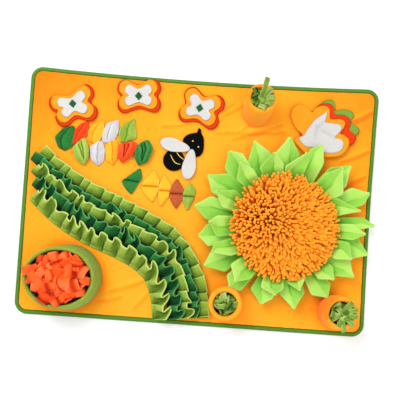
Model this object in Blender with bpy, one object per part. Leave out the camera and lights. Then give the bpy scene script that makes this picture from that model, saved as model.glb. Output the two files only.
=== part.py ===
"""A fleece snuffle mat for a dog, with its felt, ribbons, pots and sunflower sewn on.

Metres, +Z up. The origin is the middle of the mat's underside. +X runs along the long
side and +Y towards the edge that has the row of three felt flowers.
"""
import math
import random
from collections import namedtuple

import bmesh
import bpy
from mathutils import Vector
from mathutils.noise import noise

# Driving dimensions
MAT_HALF_WIDTH = 0.35075
MAT_HALF_DEPTH = 0.2495
CORNER_RADIUS = 0.024
MAT_THICKNESS = 0.004
RIM_LOW = 0.0012
RIM_HIGH = 0.0028
TOP_EDGE_SAG = 0.008
RIGHT_EDGE_SAG = 0.003
SIDE_TAPER = 0.00325
BINDING_WIDTH = 0.008
BINDING_CLOTH = 0.0009
BINDING_SOFTENING = 0.0007

GAP = 0.0003
SEAT = MAT_THICKNESS + GAP
FELT = 0.0015
FELT_STEP = FELT + GAP
FELT_LIFT = 0.055
FLEECE = 0.002

PLEAT_PITCH = 0.025
PLEAT_SHIFT = 0.06
SHALLOWEST_PLEAT = 0.85
LOWEST_PLEAT = 0.93

WALL_BULGE = 0.0015
LIP_WAVE = 0.0012
STRIP_THICKNESS = 0.003

SUNFLOWER = Vector((0.176, -0.042, 0.0))
PETAL_CLOTH = 0.0022
PETAL_CREASE = 0.003
PAD_FOOT = 0.082
HUB_INSIDE = 0.084
HUB_OUTSIDE = 0.098
LOCK_LENGTH = 0.013
LOCK_WIDTH = 0.006
LOCK_RISE = 0.006

LUMPS_PER_METRE = 70
SEED = 11

# Cloths: base colour as sRGB hex, and roughness
CLOTHS = {
    "orange fleece": ("FBAA2C", 0.95),
    "green binding": ("5E9A34", 0.85),
    "red felt": ("FF4D1A", 0.95),
    "yellow felt": ("FFB02A", 0.95),
    "white felt": ("E9E7F0", 0.95),
    "dark green felt": ("2B6B3C", 0.95),
    "leaf green felt": ("6FA63C", 0.95),
    "black felt": ("0C0C12", 0.95),
    "dark green fleece": ("1F8A4F", 0.95),
    "light green fleece": ("A9C853", 0.95),
    "red fleece": ("FF4A22", 0.95),
    "yellow fleece": ("FFC22E", 0.95),
    "white fleece": ("ECEAF2", 0.95),
    "rust fleece": ("CF6342", 0.95),
    "cup fleece": ("7CB444", 0.95),
    "stuffing fleece": ("FF5A26", 0.95),
    "grass fleece": ("8FB450", 0.95),
    "petal fleece": ("8FE055", 0.95),
    "chenille": ("FF9A25", 0.90),
}

Ridge = namedtuple("Ridge", "x0 y0 x1 y1 height width")
WRINKLES = (
    Ridge(0.338, 0.160, 0.336, 0.060, 0.0030, 0.030),
    Ridge(-0.135, -0.192, -0.130, -0.215, 0.0025, 0.022),
    Ridge(0.140, -0.236, 0.225, -0.234, 0.0025, 0.028),
    Ridge(-0.334, 0.120, -0.334, 0.200, 0.0025, 0.030),
)

# A rounded lobe of a felt edge: its direction in degrees, length, half spread and power
Lobe = namedtuple("Lobe", "angle length spread power")
BUTTERFLY_LOBES = (
    Lobe(36, 0.044, 42, 0.42),
    Lobe(144, 0.044, 42, 0.42),
    Lobe(207, 0.042, 42, 0.42),
    Lobe(-27, 0.042, 42, 0.42),
)
BUTTERFLY_BODY = 0.023
Layer = namedtuple("Layer", "name cloth scale")
BUTTERFLY_LAYERS = (
    Layer("base", "red felt", 1.14),
    Layer("middle", "yellow felt", 1.0),
    Layer("top", "white felt", 0.70),
)
DIAMOND = 0.0095
Spot = namedtuple("Spot", "name x y turn")
BUTTERFLIES = (
    Spot("flower_1", -0.265, 0.177, 32),
    Spot("flower_2", -0.133, 0.202, 15),
    Spot("flower_3", -0.008, 0.186, -15),
)

BIG_FLOWER = (0.232, 0.118)
BIG_FLOWER_BODY = 0.020
BIG_FLOWER_LAYERS = (
    ("green", "leaf green felt",
     (Lobe(103, 0.094, 17, 0.5), Lobe(76, 0.106, 16, 0.5), Lobe(52, 0.105, 16, 0.5),
      Lobe(30, 0.097, 17, 0.5))),
    ("red", "red felt",
     (Lobe(101, 0.086, 18, 0.5), Lobe(78, 0.099, 15, 0.5), Lobe(52, 0.094, 16, 0.5), Lobe(21, 0.080, 22, 0.5),
      Lobe(230, 0.026, 25, 1.0))),
    ("orange", "yellow felt",
     (Lobe(121, 0.094, 30, 0.42), Lobe(80, 0.091, 24, 0.45), Lobe(47, 0.081, 23, 0.45),
      Lobe(15, 0.068, 26, 0.45), Lobe(146, 0.046, 30, 0.5))),
    ("white", "white felt",
     (Lobe(78, 0.080, 20, 1.2), Lobe(47, 0.067, 25, 0.5), Lobe(14, 0.055, 28, 0.5), Lobe(146, 0.042, 34, 0.5),
      Lobe(112, 0.048, 40, 0.3))),
)

# The bee: middles of its head and body, and each wing's middle, direction and height over the body
BEE_HEAD = (-0.014, 0.112)
HEAD_RADIUS = 0.0235
ANTENNAE = (Lobe(74, 0.033, 11, 1.4), Lobe(40, 0.031, 11, 1.4))
BEE_BODY = (-0.053, 0.077)
BODY_RADIUS = 0.0243
WING_HALF_LENGTH = 0.031
WING_HALF_WIDTH = 0.015
WING_TAPER = 0.45
Wing = namedtuple("Wing", "name x y turn lift")
WINGS = (
    Wing("bee_wing_1", -0.053, 0.107, 167, 0.0012),
    Wing("bee_wing_2", -0.017, 0.071, 262, 0.0006),
)

# Folded leaves: middle, length, width, lean of the long axis in degrees, how far their ends are
# cut on the slant, and how far the fold stands (below nought it is a trough)
Leaf = namedtuple("Leaf", "name cloth x y length width lean slant fold")
UPPER_LEAVES = (
    Leaf("leaf_a1_green", "dark green fleece", -0.281, 0.106, 0.046, 0.0255, 62, 0.45, 0.009),
    Leaf("leaf_a2_red", "red fleece", -0.246, 0.117, 0.046, 0.0250, 66, 0.55, 0.008),
    Leaf("leaf_a3_yellow", "yellow fleece", -0.214, 0.123, 0.046, 0.0255, 67, 0.55, 0.008),
    Leaf("leaf_a4_white", "white fleece", -0.182, 0.129, 0.047, 0.0250, 66, 0.55, 0.008),
    Leaf("leaf_a5_lime", "light green fleece", -0.147, 0.131, 0.045, 0.0310, 76, 0.30, 0.007),
    Leaf("leaf_a6_lime", "light green fleece", -0.238, 0.077, 0.044, 0.0285, 84, 0.10, -0.009),
    Leaf("leaf_a7_white", "white fleece", -0.207, 0.078, 0.045, 0.0290, 84, 0.10, 0.008),
    Leaf("leaf_a8_yellow", "yellow fleece", -0.176, 0.081, 0.045, 0.0285, 84, 0.10, 0.007),
    Leaf("leaf_a9_red", "red fleece", -0.145, 0.083, 0.043, 0.0285, 80, 0.15, -0.007),
    Leaf("leaf_a10_green", "dark green fleece", -0.111, 0.087, 0.047, 0.0300, 76, 0.15, -0.009),
)
LOWER_LEAVES = (
    Leaf("leaf_b1_green", "dark green fleece", -0.136, 0.028, 0.050, 0.040, 76, 0.0, 0.006),
    Leaf("leaf_b2_yellow", "yellow fleece", -0.098, 0.021, 0.054, 0.034, 82, 0.0, 0.005),
    Leaf("leaf_b3_yellow", "yellow fleece", -0.069, 0.016, 0.054, 0.023, 86, 0.0, 0.005),
    Leaf("leaf_b4_rust", "rust fleece", -0.043, 0.010, 0.054, 0.027, 86, 0.0, 0.005),
    Leaf("leaf_b5_lime", "light green fleece", -0.018, 0.005, 0.050, 0.022, 82, 0.0, 0.005),
)

# The curve that the pleated band follows, from the left edge to the bottom edge
Stop = namedtuple("Stop", "x y")
BAND_ROUTE = (
    Stop(-0.336, 0.039), Stop(-0.297, 0.008), Stop(-0.250, -0.022), Stop(-0.195, -0.048),
    Stop(-0.138, -0.069), Stop(-0.088, -0.092), Stop(-0.050, -0.122), Stop(-0.027, -0.160),
    Stop(-0.014, -0.200), Stop(-0.009, -0.237),
)
BAND_MIDDLE_AT = 0.4
LIGHT = "light green fleece"
DARK = "dark green fleece"
# Each ribbon: where its sewn edge runs beside that curve at its start, middle and end, how far
# along it starts, how far its free edge leans over, how high it stands, and its pleats: half their
# depth, the share of a pleat left at each side, and the share tucked under its neighbour
Ribbon = namedtuple("Ribbon", "name cloth near middle far start lean height depth side tuck")
RIBBONS = (
    Ribbon("ribbon_1_light", LIGHT, 0.029, 0.03, 0.025, 0.002, 0.018, 0.01, 0.004, 0.09, 0.14),
    Ribbon("ribbon_2_dark", DARK, 0.013, 0.011, 0.008, -0.006, 0.019, 0.015, 0.004, 0.09, 0.14),
    Ribbon("ribbon_3_light", LIGHT, -0.004, -0.009, -0.011, 0.008, 0.02, 0.019, 0.0045, 0.13, -0.04),
    Ribbon("ribbon_4_dark", DARK, -0.02, -0.032, -0.033, 0.028, 0.02, 0.021, 0.0045, 0.13, -0.04),
    Ribbon("ribbon_5_light", LIGHT, -0.036, -0.054, -0.057, 0.044, 0.018, 0.022, 0.005, 0.13, -0.04),
)

# Standing fabric tubes: foot middle, foot and lip radius (along X, along Y), lean over the whole
# height, height, wall and lip thickness
Tube = namedtuple("Tube", "name cloth x y foot lip_x lip_y lean_x lean_y height wall lip")
ORANGE = "orange fleece"
CUP = Tube("cup_wall", "cup fleece", -0.243, -0.172, 0.065, 0.070, 0.060, -0.014, -0.002, 0.060, 0.003, 0.003)
POTS = (
    Tube("pot_1_wall", ORANGE, 0.107, 0.183, 0.028, 0.029, 0.029, 0.006, 0.021, 0.064, 0.003, 0.005),
    Tube("pot_2_wall", ORANGE, 0.071, -0.2, 0.032, 0.032, 0.032, -0.003, -0.002, 0.062, 0.003, 0.006),
    Tube("pot_3_wall", ORANGE, 0.285, -0.203, 0.032, 0.032, 0.032, 0.007, -0.001, 0.064, 0.003, 0.005),
)
# Strips that hang over a pot's lip: which side in degrees, how far out and how high their ends are
Strip = namedtuple("Strip", "side out top")
POT_STRIPS = (
    (Strip(90, 0.030, 0.094), Strip(18, 0.014, 0.080), Strip(162, 0.014, 0.080), Strip(234, 0.010, 0.074),
     Strip(306, 0.013, 0.072)),
    (Strip(18, 0.012, 0.072), Strip(90, 0.014, 0.074), Strip(162, 0.012, 0.070), Strip(234, 0.014, 0.074),
     Strip(306, 0.012, 0.070)),
    (Strip(270, 0.038, 0.077), Strip(342, 0.020, 0.076), Strip(54, 0.016, 0.074), Strip(126, 0.012, 0.072),
     Strip(198, 0.012, 0.072)),
)

# Heaps inside the cup and the pots: rings from the bottom up
Ring = namedtuple("Ring", "radius height")
STUFFING_PROFILE = (Ring(0.050, 0.0), Ring(0.055, 0.022), Ring(0.056, 0.044), Ring(0.047, 0.056),
                    Ring(0.030, 0.067), Ring(0.012, 0.071))
STUFFING_STEPS = 18
STUFFING_LUMP = 0.003
FlapRow = namedtuple("FlapRow", "level first reach")
FLAP_ROWS = (FlapRow(2, 0, 0.010), FlapRow(3, 1, 0.014))
FLAP_WIDTH = 0.013
LONG_FLAP = (2, 8)
LONG_FLAP_STOPS = (Vector((-0.072, 0.004, 0.067)), Vector((-0.086, 0.005, 0.066)))
LONG_FLAP_WIDTH = 0.017
GRASS_PROFILE = (Ring(0.018, 0.0), Ring(0.019, 0.030), Ring(0.013, 0.040), Ring(0.009, 0.057))
GRASS_LEVEL = 1
GRASS_STEPS = 10
GRASS_LUMP = 0.001
GRASS_WIDTH = 0.010
LIP_CLEARANCE = 0.025

# Outer petals: direction of the tip in degrees, its distance from the middle and its height
Petal = namedtuple("Petal", "angle reach rise")
OUTER_PETALS = (
    Petal(3, 0.172, 0.030), Petal(24, 0.176, 0.024), Petal(46, 0.177, 0.026), Petal(69, 0.174, 0.030),
    Petal(90, 0.175, 0.032), Petal(111, 0.178, 0.028), Petal(130, 0.178, 0.026), Petal(150, 0.180, 0.028),
    Petal(171, 0.182, 0.026), Petal(191, 0.170, 0.030), Petal(211, 0.178, 0.036), Petal(236, 0.150, 0.030),
    Petal(257, 0.160, 0.026), Petal(280, 0.165, 0.022), Petal(303, 0.161, 0.026), Petal(325, 0.165, 0.024),
    Petal(345, 0.166, 0.026),
)
OUTER_MIDDLE_RISE = 0.013
INNER_MIDDLE_RISE = 0.021
INNER_REACH = 0.150
INNER_RISE = 0.040
# A petal's cross rows: how far out between hub and tip, and their share of the petal's width
PETAL_BELLY = (0.42, 0.90)
PETAL_SHOULDER = (0.78, 0.60)
PAD_PROFILE = (Ring(PAD_FOOT, 0.0), Ring(PAD_FOOT, 0.008), Ring(0.096, 0.015), Ring(0.102, 0.024),
               Ring(0.097, 0.034), Ring(0.083, 0.042), Ring(0.060, 0.048), Ring(0.034, 0.050),
               Ring(0.012, 0.050))
PAD_STEPS = 44
PAD_LUMP = 0.004
LOCK_LEVEL = 2


def cloth(name):
    """The material of one cloth, made the first time it is asked for."""
    made = bpy.data.materials.get(name)
    if made:
        return made
    hex_colour, roughness = CLOTHS[name]
    channels = [int(hex_colour[i:i + 2], 16) / 255 for i in (0, 2, 4)]
    linear = [c / 12.92 if c <= 0.04045 else ((c + 0.055) / 1.055) ** 2.4 for c in channels]
    made = bpy.data.materials.new(name)
    made.use_nodes = True
    shader = made.node_tree.nodes["Principled BSDF"]
    shader.inputs["Base Color"].default_value = (*linear, 1.0)
    shader.inputs["Roughness"].default_value = roughness
    shader.inputs["Metallic"].default_value = 0.0
    made.diffuse_color = (*linear, 1.0)
    return made


def place(name, bm, cloth_name, location=(0.0, 0.0, 0.0), turn=0.0):
    """Make the mesh in bm an object of its own."""
    mesh = bpy.data.meshes.new(name)
    bm.to_mesh(mesh)
    bm.free()
    mesh.materials.append(cloth(cloth_name))
    piece = bpy.data.objects.new(name, mesh)
    piece.location = location
    piece.rotation_euler.z = math.radians(turn)
    bpy.context.scene.collection.objects.link(piece)
    return piece


def join_rows(bm, rows):
    """Join neighbouring rows of points with four-sided faces; returns the rows of vertices."""
    lines = [[bm.verts.new(point) for point in row] for row in rows]
    for near, far in zip(lines, lines[1:]):
        for i in range(len(near) - 1):
            bm.faces.new((near[i], near[i + 1], far[i + 1], far[i]))
    return lines


def thicken(bm, amount):
    """Close an open cloth by extruding it straight up."""
    made = bmesh.ops.extrude_face_region(bm, geom=list(bm.faces))["geom"]
    raised = [item for item in made if isinstance(item, bmesh.types.BMVert)]
    bmesh.ops.translate(bm, verts=raised, vec=(0.0, 0.0, amount))
    bmesh.ops.recalc_face_normals(bm, faces=bm.faces)
    return raised


def loft(bm, rings, closed):
    """Skin a chain of equal rings of points, capping its ends unless the chain closes."""
    loops = [[bm.verts.new(point) for point in ring] for ring in rings]
    pairs = list(zip(loops, loops[1:]))
    if closed:
        pairs.append((loops[-1], loops[0]))
    for near, far in pairs:
        for i in range(len(near)):
            after = (i + 1) % len(near)
            bm.faces.new((near[i], near[after], far[after], far[i]))
    if not closed:
        bm.faces.new(loops[0])
        bm.faces.new(loops[-1])
    bmesh.ops.recalc_face_normals(bm, faces=bm.faces)


# The panel and its binding

def mat_shape(x, y):
    """Carry a point of the plain rectangle to the mat as it lies, with its drawn-in edges."""
    across = x / MAT_HALF_WIDTH
    along = y / MAT_HALF_DEPTH
    shaped_x = x + SIDE_TAPER * along * across
    shaped_y = y
    if y > 0:
        shaped_y -= TOP_EDGE_SAG * along * (1 - across ** 2)
    if x > 0:
        shaped_x -= RIGHT_EDGE_SAG * across * (1 - along ** 2)
    return shaped_x, shaped_y


def round_corner(x, y):
    """Bend the square corners of a grid into quarter circles."""
    straight_x = MAT_HALF_WIDTH - CORNER_RADIUS
    straight_y = MAT_HALF_DEPTH - CORNER_RADIUS
    over_x = abs(x) - straight_x
    over_y = abs(y) - straight_y
    if min(over_x, over_y) <= 0:
        return x, y
    radius = max(over_x, over_y)
    share = over_y / over_x if over_x >= over_y else 2 - over_x / over_y
    angle = share * math.pi / 4
    return (math.copysign(straight_x + radius * math.cos(angle), x),
            math.copysign(straight_y + radius * math.sin(angle), y))


def wrinkle_height(x, y):
    """How far the soft creases lift the panel's upper face at one place."""
    height = 0.0
    for ridge in WRINKLES:
        start = Vector((ridge.x0, ridge.y0))
        run = Vector((ridge.x1, ridge.y1)) - start
        share = max(0.0, min(1.0, (Vector((x, y)) - start).dot(run) / run.length_squared))
        away = (Vector((x, y)) - start - run * share).length
        height += ridge.height * max(0.0, 1 - (away / ridge.width) ** 2)
    return height


def build_panel():
    """The fleece panel: a grid with a thin rim that sits inside the binding."""
    rim_insets = (0.0025, BINDING_WIDTH + 0.0006, BINDING_WIDTH + 0.002, CORNER_RADIUS)
    thin_rings = 2
    cells_across = 28
    cells_along = 20

    def lines(half, cells):
        rim = [half - inset for inset in rim_insets]
        even = [rim[-1] * (2 * k / cells - 1) for k in range(1, cells)]
        return [-value for value in rim] + even + rim[::-1]

    columns = lines(MAT_HALF_WIDTH, cells_across)
    rows = lines(MAT_HALF_DEPTH, cells_along)
    bm = bmesh.new()
    flat = [[(*mat_shape(*round_corner(x, y)), 0.0) for x in columns] for y in rows]
    grid = join_rows(bm, flat)
    thin = set()
    for j, row in enumerate(grid):
        for i, vert in enumerate(row):
            ring = min(i, j, len(row) - 1 - i, len(grid) - 1 - j)
            if ring < thin_rings:
                thin.add((round(vert.co.x, 6), round(vert.co.y, 6)))
    underside = list(bm.verts)
    upper = thicken(bm, MAT_THICKNESS)
    for vert in upper:
        is_thin = (round(vert.co.x, 6), round(vert.co.y, 6)) in thin
        vert.co.z = RIM_HIGH if is_thin else MAT_THICKNESS + wrinkle_height(vert.co.x, vert.co.y)
    for vert in underside:
        is_thin = (round(vert.co.x, 6), round(vert.co.y, 6)) in thin
        vert.co.z = RIM_LOW if is_thin else 0.0
    resting = [face for face in bm.faces if all(abs(vert.co.z) < 1e-7 for vert in face.verts)]
    bmesh.ops.dissolve_faces(bm, faces=resting)
    place("mat_panel", bm, "orange fleece")


def edge_points(inset):
    """Points round the mat at one distance inside its edge, corners as arcs."""
    arc_steps = 4
    side_steps = {"long": 8, "short": 5}
    radius = CORNER_RADIUS - inset
    corners = ((1, 1, 0), (-1, 1, 90), (-1, -1, 180), (1, -1, 270))
    arcs = []
    for sign_x, sign_y, first in corners:
        middle_x = sign_x * (MAT_HALF_WIDTH - CORNER_RADIUS)
        middle_y = sign_y * (MAT_HALF_DEPTH - CORNER_RADIUS)
        angles = [math.radians(first + 90 * k / arc_steps) for k in range(arc_steps + 1)]
        arcs.append([(middle_x + radius * math.cos(a), middle_y + radius * math.sin(a)) for a in angles])
    points = []
    for k, arc in enumerate(arcs):
        points += arc
        start = Vector(arc[-1])
        end = Vector(arcs[(k + 1) % len(arcs)][0])
        steps = side_steps["long" if k % 2 == 0 else "short"]
        points += [tuple(start.lerp(end, i / steps)) for i in range(1, steps)]
    return [mat_shape(*point) for point in points]


def build_binding():
    """The tape folded round the edge: a U seen in section, open to the inside."""
    top = MAT_THICKNESS
    soft = BINDING_SOFTENING
    cloth_thickness = BINDING_CLOTH
    section = (
        (soft, 0.0), (0.0, soft), (0.0, top - soft), (soft, top),
        (BINDING_WIDTH, top), (BINDING_WIDTH, top - cloth_thickness),
        (cloth_thickness, top - cloth_thickness), (cloth_thickness, cloth_thickness),
        (BINDING_WIDTH, cloth_thickness), (BINDING_WIDTH, 0.0),
    )
    loops = [[(x, y, height) for x, y in edge_points(inset)] for inset, height in section]
    bm = bmesh.new()
    loft(bm, list(zip(*loops)), closed=True)
    place("binding", bm, "green binding")


# Felt shapes

def lobed_reach(angle, lobes, body):
    """Distance from the middle to an edge of rounded lobes, in one direction."""
    reach = body
    for lobe in lobes:
        off = abs((angle - lobe.angle + 180) % 360 - 180) / lobe.spread
        if off < 1:
            reach = max(reach, lobe.length * math.cos(off * math.pi / 2) ** lobe.power)
    return reach


def lobed_outline(lobes, body, steps, scale=1.0):
    """The edge of a lobed felt shape as points about its middle."""
    angles = [360 * k / steps for k in range(steps)]
    reaches = [scale * lobed_reach(a, lobes, body) for a in angles]
    return [(r * math.cos(math.radians(a)), r * math.sin(math.radians(a))) for a, r in zip(angles, reaches)]


def build_felt(name, cloth_name, outline, location, turn=0.0):
    """One cut felt shape whose edge lifts gently away from where it is sewn."""
    bm = bmesh.new()
    middle = bm.verts.new((0.0, 0.0, 0.0))
    edge = [bm.verts.new((x, y, FELT_LIFT * math.hypot(x, y))) for x, y in outline]
    for k, vert in enumerate(edge):
        bm.faces.new((middle, vert, edge[(k + 1) % len(edge)]))
    thicken(bm, FELT)
    place(name, bm, cloth_name, location, turn)


def build_small_flowers():
    """Three flowers of stacked four-lobed felt with a dark diamond in the middle."""
    for spot in BUTTERFLIES:
        for level, layer in enumerate(BUTTERFLY_LAYERS):
            outline = lobed_outline(BUTTERFLY_LOBES, BUTTERFLY_BODY, 28, layer.scale)
            where = (spot.x, spot.y, SEAT + level * FELT_STEP)
            build_felt(f"{spot.name}_{layer.name}", layer.cloth, outline, where, spot.turn)
        diamond = [(DIAMOND, 0.0), (0.0, DIAMOND), (-DIAMOND, 0.0), (0.0, -DIAMOND)]
        where = (spot.x, spot.y, SEAT + len(BUTTERFLY_LAYERS) * FELT_STEP)
        build_felt(f"{spot.name}_centre", "dark green felt", diamond, where, spot.turn)


def build_big_flower():
    """One flower seen from its side: four crowns of lobes, each shorter than the one below."""
    for level, (name, cloth_name, lobes) in enumerate(BIG_FLOWER_LAYERS):
        outline = lobed_outline(lobes, BIG_FLOWER_BODY, 40)
        where = (*BIG_FLOWER, SEAT + level * FELT_STEP)
        build_felt(f"big_flower_{name}", cloth_name, outline, where)


def oval(half_length, half_width, steps, blunt=0.0):
    """An oval, or with blunt above nought a drop that narrows towards -X."""
    points = []
    for k in range(steps):
        angle = 2 * math.pi * k / steps
        narrowing = 1 - blunt * (1 - math.cos(angle)) / 2
        points.append((half_length * math.cos(angle), half_width * math.sin(angle) * narrowing))
    return points


def build_bee():
    """A bee of four felt shapes: head, body and two wings laid over both."""
    head = lobed_outline(ANTENNAE, HEAD_RADIUS, 32)
    build_felt("bee_head", "black felt", head, (*BEE_HEAD, SEAT))
    build_felt("bee_body", "black felt", oval(BODY_RADIUS, BODY_RADIUS, 20), (*BEE_BODY, SEAT))
    shape = oval(WING_HALF_LENGTH, WING_HALF_WIDTH, 18, WING_TAPER)
    for wing in WINGS:
        build_felt(wing.name, "white felt", shape, (wing.x, wing.y, SEAT + FELT_STEP + wing.lift), wing.turn)


# Folded leaves

def build_upper_leaf(leaf):
    """A leaf folded along its length, into a ridge or, where fold is negative, a trough."""
    bm = bmesh.new()
    rows = []
    for share in (-1.0, -0.75, -0.25, 0.25, 0.75, 1.0):
        half = leaf.width / 2 * max(0.60, 1 - abs(share) ** 5)
        stand = abs(leaf.fold) * (1 - share ** 2)
        edge_height = stand if leaf.fold < 0 else 0.0
        ridge_height = stand if leaf.fold > 0 else 0.0
        along = share * leaf.length / 2
        slant = leaf.slant * half
        rows.append([(along - slant, half, edge_height), (along, 0.0, ridge_height),
                     (along + slant, -half, edge_height)])
    join_rows(bm, rows)
    thicken(bm, FLEECE)
    place(leaf.name, bm, leaf.cloth, (leaf.x, leaf.y, SEAT), leaf.lean)


def build_lower_leaf(leaf):
    """A pointed leaf held down by a seam across its middle, so both halves puff up."""
    bm = bmesh.new()
    rows = []
    for share in (-1.0, -0.5, 0.0, 0.5, 1.0):
        half = leaf.width / 2 * max(0.15, 1 - abs(share) ** 1.8)
        puff = leaf.fold * 4 * abs(share) * (1 - abs(share))
        along = share * leaf.length / 2
        rows.append([(along, half, 0.0), (along, 0.0, puff), (along, -half, 0.0)])
    join_rows(bm, rows)
    thicken(bm, FLEECE)
    place(leaf.name, bm, leaf.cloth, (leaf.x, leaf.y, SEAT), leaf.lean)


# The pleated band

def smooth_curve(stops, steps):
    """A smooth line through the stops, as evenly counted points."""
    corners = [Vector((stop.x, stop.y)) for stop in stops]
    corners = [2 * corners[0] - corners[1]] + corners + [2 * corners[-1] - corners[-2]]
    line = []
    for a, b, c, d in zip(corners, corners[1:], corners[2:], corners[3:]):
        for k in range(steps):
            t = k / steps
            line.append(0.5 * (2 * b + (c - a) * t + (2 * a - 5 * b + 4 * c - d) * t ** 2
                               + (3 * b - a - 3 * c + d) * t ** 3))
    line.append(corners[-2])
    return line


def left_of(line, k):
    """The unit direction to the left of a line at its point k."""
    ahead = line[min(k + 1, len(line) - 1)]
    behind = line[max(k - 1, 0)]
    heading = (ahead - behind).normalized()
    return Vector((-heading.y, heading.x))


def measure(line):
    """The distance from the line's first point to each of its points."""
    lengths = [0.0]
    for near, far in zip(line, line[1:]):
        lengths.append(lengths[-1] + (far - near).length)
    return lengths


def point_along(line, lengths, distance):
    """The place and the left-hand direction at one distance along a line."""
    k = 0
    while k < len(line) - 2 and lengths[k + 1] < distance:
        k += 1
    share = (distance - lengths[k]) / (lengths[k + 1] - lengths[k])
    place_there = line[k] + (line[k + 1] - line[k]) * share
    side = left_of(line, k).lerp(left_of(line, k + 1), max(0.0, min(1.0, share))).normalized()
    return place_there, side


def sewn_line(ribbon):
    """The line on the panel along which one ribbon is sewn."""
    middle_line = smooth_curve(BAND_ROUTE, 6)
    lengths = measure(middle_line)
    total = lengths[-1]
    steps = 60
    line = []
    for k in range(steps + 1):
        distance = ribbon.start + (total - ribbon.start) * k / steps
        share = max(0.0, distance / total)
        if share < BAND_MIDDLE_AT:
            swing = math.sin(share / BAND_MIDDLE_AT * math.pi / 2)
            offset = ribbon.near + (ribbon.middle - ribbon.near) * swing
        else:
            rest = (share - BAND_MIDDLE_AT) / (1 - BAND_MIDDLE_AT)
            offset = ribbon.middle + (ribbon.far - ribbon.middle) * rest
        spot, side = point_along(middle_line, lengths, distance)
        line.append(spot + side * offset)
    return line


def build_ribbon(ribbon, chance):
    """A box-pleated strip of fleece: a thin upright wall that folds back and forth."""
    line = sewn_line(ribbon)
    lengths = measure(line)
    pleats = int(lengths[-1] / PLEAT_PITCH)
    pitch = lengths[-1] / pleats
    seams = [pitch * (k + chance.uniform(-PLEAT_SHIFT, PLEAT_SHIFT)) for k in range(pleats + 1)]
    seams[0] = 0.0
    seams[-1] = lengths[-1]
    folds = []
    for k, (near, far) in enumerate(zip(seams, seams[1:])):
        margin = ribbon.side * pitch
        depth = ribbon.depth * chance.uniform(SHALLOWEST_PLEAT, 1.0)
        folds += [(near + margin, depth), (far - margin, depth)]
        if k < pleats - 1:
            turned = margin + ribbon.tuck * pitch
            folds += [(far - turned, -depth), (far + turned, -depth)]
    flat = []
    for distance, depth in folds:
        spot, side = point_along(line, lengths, distance)
        flat.append((spot + side * depth, side))
    rings = []
    for k, (spot, side) in enumerate(flat):
        before = (spot - flat[k - 1][0]).normalized() if k else (flat[1][0] - spot).normalized()
        after = (flat[k + 1][0] - spot).normalized() if k < len(flat) - 1 else before
        left_before = Vector((-before.y, before.x))
        left_after = Vector((-after.y, after.x))
        mitre = (left_before + left_after).normalized()
        half = mitre * (FLEECE / 2 / max(0.5, mitre.dot(left_after)))
        lift = ribbon.height * chance.uniform(LOWEST_PLEAT, 1.0)
        lean = side * ribbon.lean
        low = (spot - half, spot + half)
        rings.append([(*low[0], SEAT), (*low[1], SEAT),
                      (*(low[1] + lean), SEAT + lift), (*(low[0] + lean), SEAT + lift)])
    bm = bmesh.new()
    loft(bm, rings, closed=False)
    place(ribbon.name, bm, ribbon.cloth)


# Standing tubes, and the strips that fill them

def build_tube(tube, steps):
    """A soft standing tube with a rolled lip, leaning as it stands."""
    rings = []
    for k in range(steps):
        angle = 2 * math.pi * k / steps
        out_x = math.cos(angle)
        out_y = math.sin(angle)
        wave = LIP_WAVE * math.sin(3 * angle)
        ring = []
        section = ((0.0, 0.0), (0.5, -WALL_BULGE), (1.0, 0.0), (1.0, tube.lip), (0.0, tube.wall))
        for share, inward in section:
            radius_x = tube.foot + (tube.lip_x - tube.foot) * share - inward
            radius_y = tube.foot + (tube.lip_y - tube.foot) * share - inward
            ring.append((radius_x * out_x + tube.lean_x * share, radius_y * out_y + tube.lean_y * share,
                         (tube.height + wave) * share))
        rings.append(ring)
    bm = bmesh.new()
    loft(bm, rings, closed=True)
    place(tube.name, bm, tube.cloth, (tube.x, tube.y, SEAT))


def heap(bm, profile, steps, squash, lean, lump):
    """A closed lumpy heap: rings of points up a profile, a point on top; returns faces by ring."""
    loops = []
    for level, (radius, height) in enumerate(profile):
        loop = []
        for k in range(steps):
            angle = 2 * math.pi * k / steps
            spot = Vector((radius * math.cos(angle), radius * squash * math.sin(angle), height))
            if level:
                out = Vector((math.cos(angle), math.sin(angle), 0.8)).normalized()
                spot += out * lump * noise(spot * LUMPS_PER_METRE)
            loop.append(bm.verts.new(spot + lean * height))
        loops.append(loop)
    top = bm.verts.new(Vector((0.0, 0.0, profile[-1][1] + lump)) + lean * profile[-1][1])
    bm.faces.new(loops[0][::-1])
    faces = []
    for near, far in zip(loops, loops[1:]):
        faces.append([bm.faces.new((near[k], near[(k + 1) % steps], far[(k + 1) % steps], far[k]))
                      for k in range(steps)])
    for k in range(steps):
        bm.faces.new((loops[-1][k], loops[-1][(k + 1) % steps], top))
    bm.normal_update()
    return faces


def pull_strip(bm, face, axis, stops, width, thickness, inset):
    """Draw a strip of cloth out of one face of a heap, through the given stops."""
    middle = face.calc_center_median()
    around = Vector((axis.y - middle.y, middle.x - axis.x, 0.0)).normalized()
    bmesh.ops.inset_individual(bm, faces=[face], thickness=inset)
    through = around.cross(face.normal)
    signs = [(math.copysign(1, (v.co - middle).dot(around)), math.copysign(1, (v.co - middle).dot(through)))
             for v in face.verts]
    trail = [middle] + list(stops)
    for k, stop in enumerate(stops):
        face = bmesh.ops.extrude_discrete_faces(bm, faces=[face])["faces"][0]
        heading = (trail[min(k + 2, len(trail) - 1)] - trail[k]).normalized()
        through = around.cross(heading).normalized()
        for vert, (side_sign, through_sign) in zip(face.verts, signs):
            vert.co = stop + around * side_sign * width / 2 + through * through_sign * thickness / 2


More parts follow.
